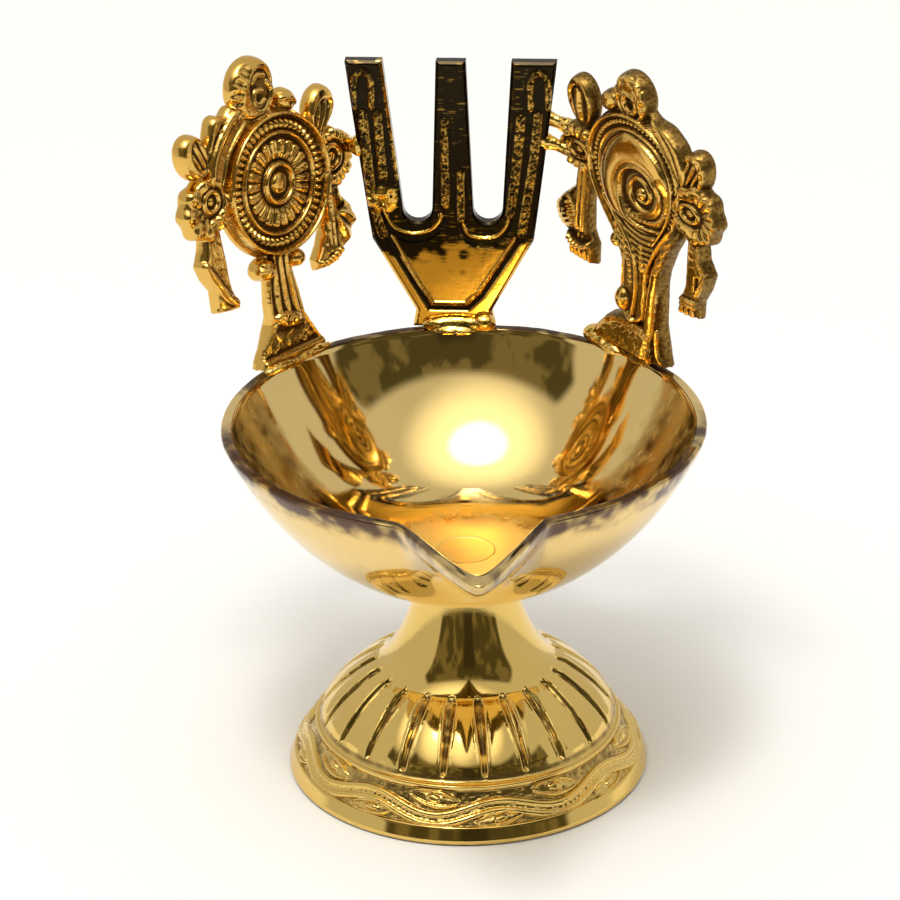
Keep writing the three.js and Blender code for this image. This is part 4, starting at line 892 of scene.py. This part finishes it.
    # the block in front of its foot, its top falling away to the left
    corners = [(-7.4, -2), (6.4, -2), (6.8, 1.4), (6.4, 6.2), (2, 6.8), (-1.8, 6.4), (-4.6, 5), (-6.6, 2.4)]
    distance, _ = outline_distance(u, v, corners)
    top_face, _ = outline_distance(u, v, [(-5.6, 2.2), (5.6, 1.6), (5.9, 5.6), (2, 6.1), (-1.6, 5.7), (-4, 4.5)])
    pits = flat_noise(u, v, 0.42, 41, 3)
    slope = np.interp(v - 0.05 * u, [-2, 0.2, 1.1, 1.7, 6.6], [1.9, 2.1, 1.9, 2.6, 1.5])
    uneven = flat_noise(u, v, 2.2, 42, 3) * 0.03 + np.minimum(pits + 0.4, 0) * 0.2
    # painted shade in the block's deeper pits, a little lighter between them
    relief.dark += np.where(distance < -0.3, 0.5 * smooth(-0.35, -0.6, pits) - 0.25, 0)
    relief.add(distance - 0.2, slope + 0.25 * smooth(0.4, -0.4, top_face) + uneven, 0.7, back=-1.9)
    relief.dark += 0.22
    return relief


def plate():
    height, bend, neck_up = 46, 15.4, 3
    middle, radius = (8.1 + 3.3) / 2, (8.1 - 3.3) / 2
    turn = 18.4 + radius
    down = np.radians(np.linspace(0, -180, 13))
    right, left = ([(x + radius * math.cos(a), turn + radius * math.sin(a)) for a in down] for x in (middle, -middle))
    bow = arc(9, (13.1, bend), (14.8, bend + 12), (17, height))
    corners = [
        (-6.7, 0), (6.7, 0), (6.2, neck_up), *bow, (9.7, height), *right, (2.4, height),
        (-2.4, height), *left, (-11, height), *(bow[::-1] * (-1, 1)), (-6.2, neck_up),
    ]
    relief = Relief((-18, -0.2), (18, 47), PLATE_STEP, PLATE_HALF, -PLATE_HALF)
    u, v = relief.u, relief.v
    distance, _ = outline_distance(u, v, corners)
    depth = -distance
    rounded = 0.5 * np.clip(depth / 0.5, 0, 1)

    # bands painted wide over the prongs, thin raised lines and the sunk lines beside them
    left_cup = curve([
        (-11.2, 21.4), (-10.6, 19.3), (-9.2, 17.4), (-6.5, 16.5), (-3.6, 17.2), (-2.1, 18.8), (-1.9, 19.8)])
    right_cup = curve([(1.4, 20), (2.25, 16.8), (4.3, 15.9), (6.8, 16.1), (8.5, 17.6), (9.3, 20), (9.75, 23.4)])
    arch = curve([(12.8, 38.3), (12.8, 42), (13.2, 43.6), (14.2, 44.4), (15.2, 43.6), (15.6, 42), (15.6, 38.3)])
    wide = [
        (arch, 0.5), (arch * (-1, 1), 0.5), ([(-1.1, 21.6), (-1.1, 36)], 0.6),
        (curve([(1.4, 27), (1.35, 22), (1.4, 19)]), 0.6),
        (curve([(9.3, 20), (9.9, 24), (10.6, 30), (11.2, 36.5)]), 0.75),
        (curve([(-14.3, 37), (-13.9, 32.6), (-13.4, 26.3), (-12.75, 21.3), (-11.3, 16.3)]), 0.8),
        (curve([(-11.8, 37), (-11.6, 32.6), (-11.1, 26.3)]), 0.7),
        (curve([(14, 37), (13.6, 32.6), (13, 28), (12.2, 23), (11.2, 16.6)]), 0.75),
    ]
    groove = [(-11.3, 16.3), (-6.9, 8.4), (-4, 3.4), (2.25, 3.4), (4.5, 5.5), (11.2, 16)]
    inner_line = [(-9.9, 16.2), (-5.9, 8.6), (-3.4, 4.4), (2, 4.4), (3.9, 6.2), (10, 15.8)]
    near = [(near_line(u, v, points)[0], half) for points, half in wide]
    bands = highest(*(smooth(half + 0.12, half - 0.22, off) for off, half in near))
    beside = highest(*(ridge(off - half - 0.35, 0.5) for off, half in near))
    thin = ((left_cup, 0.3), (right_cup, 0.3), (inner_line, 0.24))
    raised = highest(*(ridge(near_line(u, v, points)[0], half) for points, half in thin))
    under = [0.9 * ridge(near_line(u, v + 1, cup)[0], 0.65) for cup in (left_cup, right_cup)]
    sunk = highest(ridge(near_line(u, v, groove)[0], 0.5), *under) * (raised < 0.1) * (bands < 0.1)
    speckle = flat_noise(u, v, 0.32, 56) * 0.6 + flat_noise(u, v, 0.14, 57) * 0.6
    level = PLATE_HALF + rounded + (bands * (0.24 + 0.09 * speckle) + 0.34 * raised - 0.28 * sunk) * (depth > 0.3)

    # a smear of braze at the left prong's foot
    smear = np.minimum(
        np.hypot((u + 10.9) / 2.2, (v - 22.4) / 2.6), np.hypot((u + 13.1) / 2.4, (v - 22) / 0.9))
    lump = np.clip(1 - smear ** 2, 0, 1) * (0.45 + 0.3 * flat_noise(u, v, 0.9, 53))
    relief.add(distance, level, 0.02)
    relief.front = np.where(depth > 0, level + lump * (depth > 0.3), relief.front)
    relief.back = np.where(depth > 0, -PLATE_HALF - rounded, relief.back)

    # tarnish over the upper part, rubbed off the raised lines and the left prong's edge
    clouds = flat_noise(u, v, 5.0, 54) * 0.25 + flat_noise(u, v, 1.6, 55) * 0.2
    streaks = np.minimum(0.16 - flat_noise(u / 9, v, 0.17, 58), 0) * 0.65
    clear = (1 - bands) * (raised < 0.1)
    upper = np.clip(1.05 * smooth(10.5, 14.5, v + 8 * clouds) + clouds * 0.4 + streaks, 0, 1) * clear
    tarnish = highest(upper, 0.95 * sunk, 0.9 * beside * clear, bands * np.clip(0.66 + 0.6 * speckle, 0.2, 0.95))
    worn = smooth(0.55, 0.3, depth) * smooth(24, 27, v) * (u < -8) * (u > -12) * (0.6 + speckle)
    relief.tarnish = tarnish * (1 - np.clip(worn, 0, 1)) * smooth(0.7, 1.1, smear)
    relief.dark += 0.35 * bands * smooth(0.8, 1.1, smear)
    return relief


# Where the castings stand: their distance from the axis, and the length of rim from the plate to an emblem
EMBLEM_STAND, PLATE_STAND, RIM_LENGTH = 37.3, 37.2, 31.44
BEARING, CONCH_SPIN = math.degrees(RIM_LENGTH / EMBLEM_STAND), -6
chakra_place = standing(BEARING, BEARING, EMBLEM_STAND, 8)
shankha_place = standing(-BEARING, -BEARING - 5.7, EMBLEM_STAND, -3, CONCH_SPIN)
plate_place = standing(0, -6, PLATE_STAND)
make_piece("chakra_emblem", "cast_brass", CAST, *relief_mesh(chakra(), chakra_place, 60))
# the conch's side wall is painted in shade
shell = relief_mesh(shankha(), shankha_place, 70, spin=CONCH_SPIN, wall=0.62)
make_piece("shankha_emblem", "cast_brass", CAST, *shell)
made = make_piece("namam_plate", "filed_brass", PLATE, *relief_mesh(plate(), plate_place, 80, rough=0.004))
made.set_sharp_from_angle(angle=math.radians(38))


BRAZE_VOXEL = 0.00013


def lump_piece(node, lumps, place, seed, uneven=1.0):
    """Ellipsoids (middle and radii) melted together, with an uneven skin."""
    turns, rings = 40, 22
    phi = np.linspace(0, 2 * math.pi, turns, endpoint=False)
    theta = np.linspace(0.001, math.pi - 0.001, rings)[:, None]
    unit = np.stack([np.sin(theta) * np.cos(phi), np.cos(theta) + 0 * phi, np.sin(theta) * np.sin(phi)], -1)
    i, j = np.meshgrid(np.arange(rings - 1), np.arange(turns), indexing="ij")
    a, b = i * turns + j, i * turns + (j + 1) % turns
    skin = np.stack([a, a + turns, b + turns, b], -1).reshape(-1, 4).tolist()
    last = (rings - 1) * turns
    skin += [list(range(turns)), list(range(last, last + turns))[::-1]]
    points, polygons = [], []
    for k, (middle, radii) in enumerate(lumps):
        points.append(place(*(unit * np.array(radii) + np.array(middle)).reshape(-1, 3).T))
        polygons += [[p + k * turns * rings for p in face] for face in skin]
    mesh = bpy.data.meshes.new(node)
    mesh.from_pydata((np.concatenate(points) / 1000).tolist(), [], polygons)
    raw = new_object(node + "_raw", mesh)
    remesh = raw.modifiers.new("melt", "REMESH")
    remesh.mode = "VOXEL"
    remesh.voxel_size = BRAZE_VOXEL
    soften = raw.modifiers.new("soften", "SMOOTH")
    soften.iterations, soften.factor = 9, 0.6
    shown = raw.evaluated_get(bpy.context.evaluated_depsgraph_get())
    melted = shown.to_mesh()
    co, no = np.zeros((2, len(melted.vertices) * 3))
    melted.vertices.foreach_get("co", co)
    melted.vertex_normals.foreach_get("vector", no)
    co, no = co.reshape(-1, 3) * 1000, no.reshape(-1, 3)
    quads = np.zeros(len(melted.loops), np.int32)
    melted.loops.foreach_get("vertex_index", quads)
    shown.to_mesh_clear()
    bpy.data.objects.remove(raw)
    wobble = (noise3(co, 1.5, seed) * 0.16 + noise3(co, 0.4, seed + 1) * 0.045) * uneven
    # painted shade where the skin dips in
    shade_and_grime = np.clip(-wobble * 3, 0, 1)
    make_piece(node, "braze_brass", BRAZE, co + no * wobble[:, None], quads, {"shade_and_grime": shade_and_grime})


def tie(node, start, end, radius, seed):
    """A waisted web of braze between two places, each given as a plane's place and a point on it."""
    a, b = (place(*map(np.array, point)) for place, point in (start, end))
    lumps = []
    for t in np.linspace(-0.05, 1.05, 9):
        size = radius * (1 - 1.25 * max(0, t * (1 - t)))
        lumps.append((a + (b - a) * t, (size * 0.85, size * 0.85, size)))
    lump_piece(node, lumps, lambda x, y, z: np.stack([x, y, z], -1), seed)


lump_piece("plate_braze", [
    ((0.2, 0.7, 1.9), (5.4, 1.6, 1.4)), ((0.2, -0.6, 2.7), (3.9, 1.7, 1.5)), ((5, 1.1, 1.8), (1.9, 1.6, 1.5)),
], plate_place, 90, 0.6)
lump_piece("chakra_braze", [((-3.4, 0.1, 2), (3.4, 1, 1.2)), ((3.6, 0, 2), (5.6, 0.9, 1))], chakra_place, 93)
lump_piece("shankha_braze", [((-6.8, 0.2, 1.2), (2.6, 1.5, 2)), ((-3.4, 0, 2.1), (4, 1.4, 1.6))], shankha_place, 96)

# The ties sit on the plate's outer prongs, this far from its middle
PRONG = 15.1
tie("chakra_tie", (plate_place, (-PRONG, 31, -0.4)), (chakra_place, (20.4, 30.2, 0)), 1.9, 99)
tie("shankha_tie_upper", (plate_place, (PRONG, 36.2, -0.3)), (shankha_place, (-16.5, 33.7, 0)), 1.5, 102)
tie("shankha_tie_lower", (plate_place, (PRONG - 0.2, 32.4, 0.2)), (shankha_place, (-16.1, 29.7, 0)), 1.5, 105)

for name in ("centre_bolt", "bolt_washer", "bolt_nut"):
    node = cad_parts[name]
    node.data.materials.clear()
    node.data.materials.append(BOLT)

# The studio: where its soft lamp hangs, seen from the diya
GLOW = (-0.115, -0.26, 0.959)


def studio():
    """Pale surroundings with a dim room in front, someone standing in it, and the lamp's glow."""
    world = bpy.data.worlds.new("studio")
    bpy.context.scene.world = world
    world.use_nodes = True
    tree = world.node_tree
    tree.nodes.clear()
    ray = put(tree, "TexCoord", {}, "Generated")
    x, y, z = put(tree, "SeparateXYZ", {"Vector": ray}).node.outputs

    def step(value, low, high, start, end):
        sockets = {"From Min": low, "From Max": high, "To Min": start, "To Max": end, "Value": value}
        return put(tree, "MapRange", sockets, interpolation_type="SMOOTHSTEP")

    def times(a, b):
        return put(tree, "Math", {0: a, 1: b}, operation="MULTIPLY")

    def band_of(value, low, high, soft):
        return times(step(value, low - soft, low + soft, 0, 1), step(value, high - soft, high + soft, 1, 0))

    def mixed(factor, a, b):
        return put(tree, "Mix", {"Factor": factor, "A": a, "B": b}, "Result", data_type="RGBA")

    front = band_of(y, -2.0, -0.3, 0.04)
    room = times(times(band_of(x, -0.8, 0.86, 0.02), front), band_of(z, -0.5, 0.66, 0.03))
    someone = times(times(band_of(x, -0.12, 0.16, 0.02), front), band_of(z, -0.5, 0.5, 0.04))
    clutter = band_of(put(tree, "TexNoise", {"Scale": 5, "Detail": 3, "Vector": ray}), 0.52, 2.0, 0.04)
    dim = mixed(clutter, (0.09, 0.08, 0.04, 1), (0.22, 0.19, 0.11, 1))
    shade = mixed(room, (0.7, 0.685, 0.65, 1), mixed(someone, dim, (0.05, 0.042, 0.024, 1)))
    toward = put(tree, "VectorMath", {0: ray, 1: GLOW}, "Value", operation="DOT_PRODUCT")
    strength = 0.95
    for wide, tight, power in ((36, 12, 1.6), (15, 4, 9)):
        glow = step(toward, math.cos(math.radians(wide)), math.cos(math.radians(tight)), 0, power)
        strength = put(tree, "Math", {0: glow, 1: strength}, operation="ADD")
    background = put(tree, "Background", {"Strength": strength, "Color": shade})
    tree.links.new(background, tree.nodes.new("ShaderNodeOutputWorld").inputs["Surface"])


def floor():
    mesh, reach = bpy.data.meshes.new("floor"), 3
    mesh.from_pydata([(x * reach, y * reach, 0) for x, y in ((-1, -1), (1, -1), (1, 1), (-1, 1))], [], [(0, 1, 2, 3)])
    material, _, shader = material_tree("floor_look")
    shader["Base Color"].default_value = (0.93, 0.93, 0.93, 1)
    shader["Roughness"].default_value = 0.7
    mesh.materials.append(material)
    new_object("floor", mesh)


def key_light():
    """A round soft lamp in the direction of the glow."""
    data = bpy.data.lights.new("key", "AREA")
    distance, data.shape, data.size, data.energy = 0.9, "DISK", 0.16, 1.5
    lamp = new_object("key", data)
    lamp.location = place = np.array(GLOW) * distance
    lamp.rotation_mode = "QUATERNION"
    lamp.rotation_quaternion = Vector(np.array([0, 0, 0.05]) - place).to_track_quat("-Z", "Y")


def camera():
    distance, elevation, yaw, roll = 0.7, math.radians(25.23), math.radians(-1.7), math.radians(-0.9)
    focal_pixels, photo_width, sensor = 4462.5, 900, 36
    data = bpy.data.cameras.new("camera")
    data.sensor_width, data.lens = sensor, focal_pixels / photo_width * sensor
    data.clip_start, data.clip_end = 0.05, 20
    view = new_object("camera", data)
    turn = Matrix.Rotation(yaw, 3, "Z")
    aim = turn @ Vector((-0.002219, 0, 0.054985))
    back = turn @ Vector((0, -math.cos(elevation), math.sin(elevation)))
    view.location = aim + back * distance + Vector(AXIS / 1000)
    view.rotation_mode = "QUATERNION"
    view.rotation_quaternion = Matrix.Rotation(roll, 3, back).to_quaternion() @ (-back).to_track_quat("-Z", "Y")
    bpy.context.scene.camera = view


bpy.context.scene.view_settings.view_transform = "Standard"
studio()
floor()
key_light()
camera()
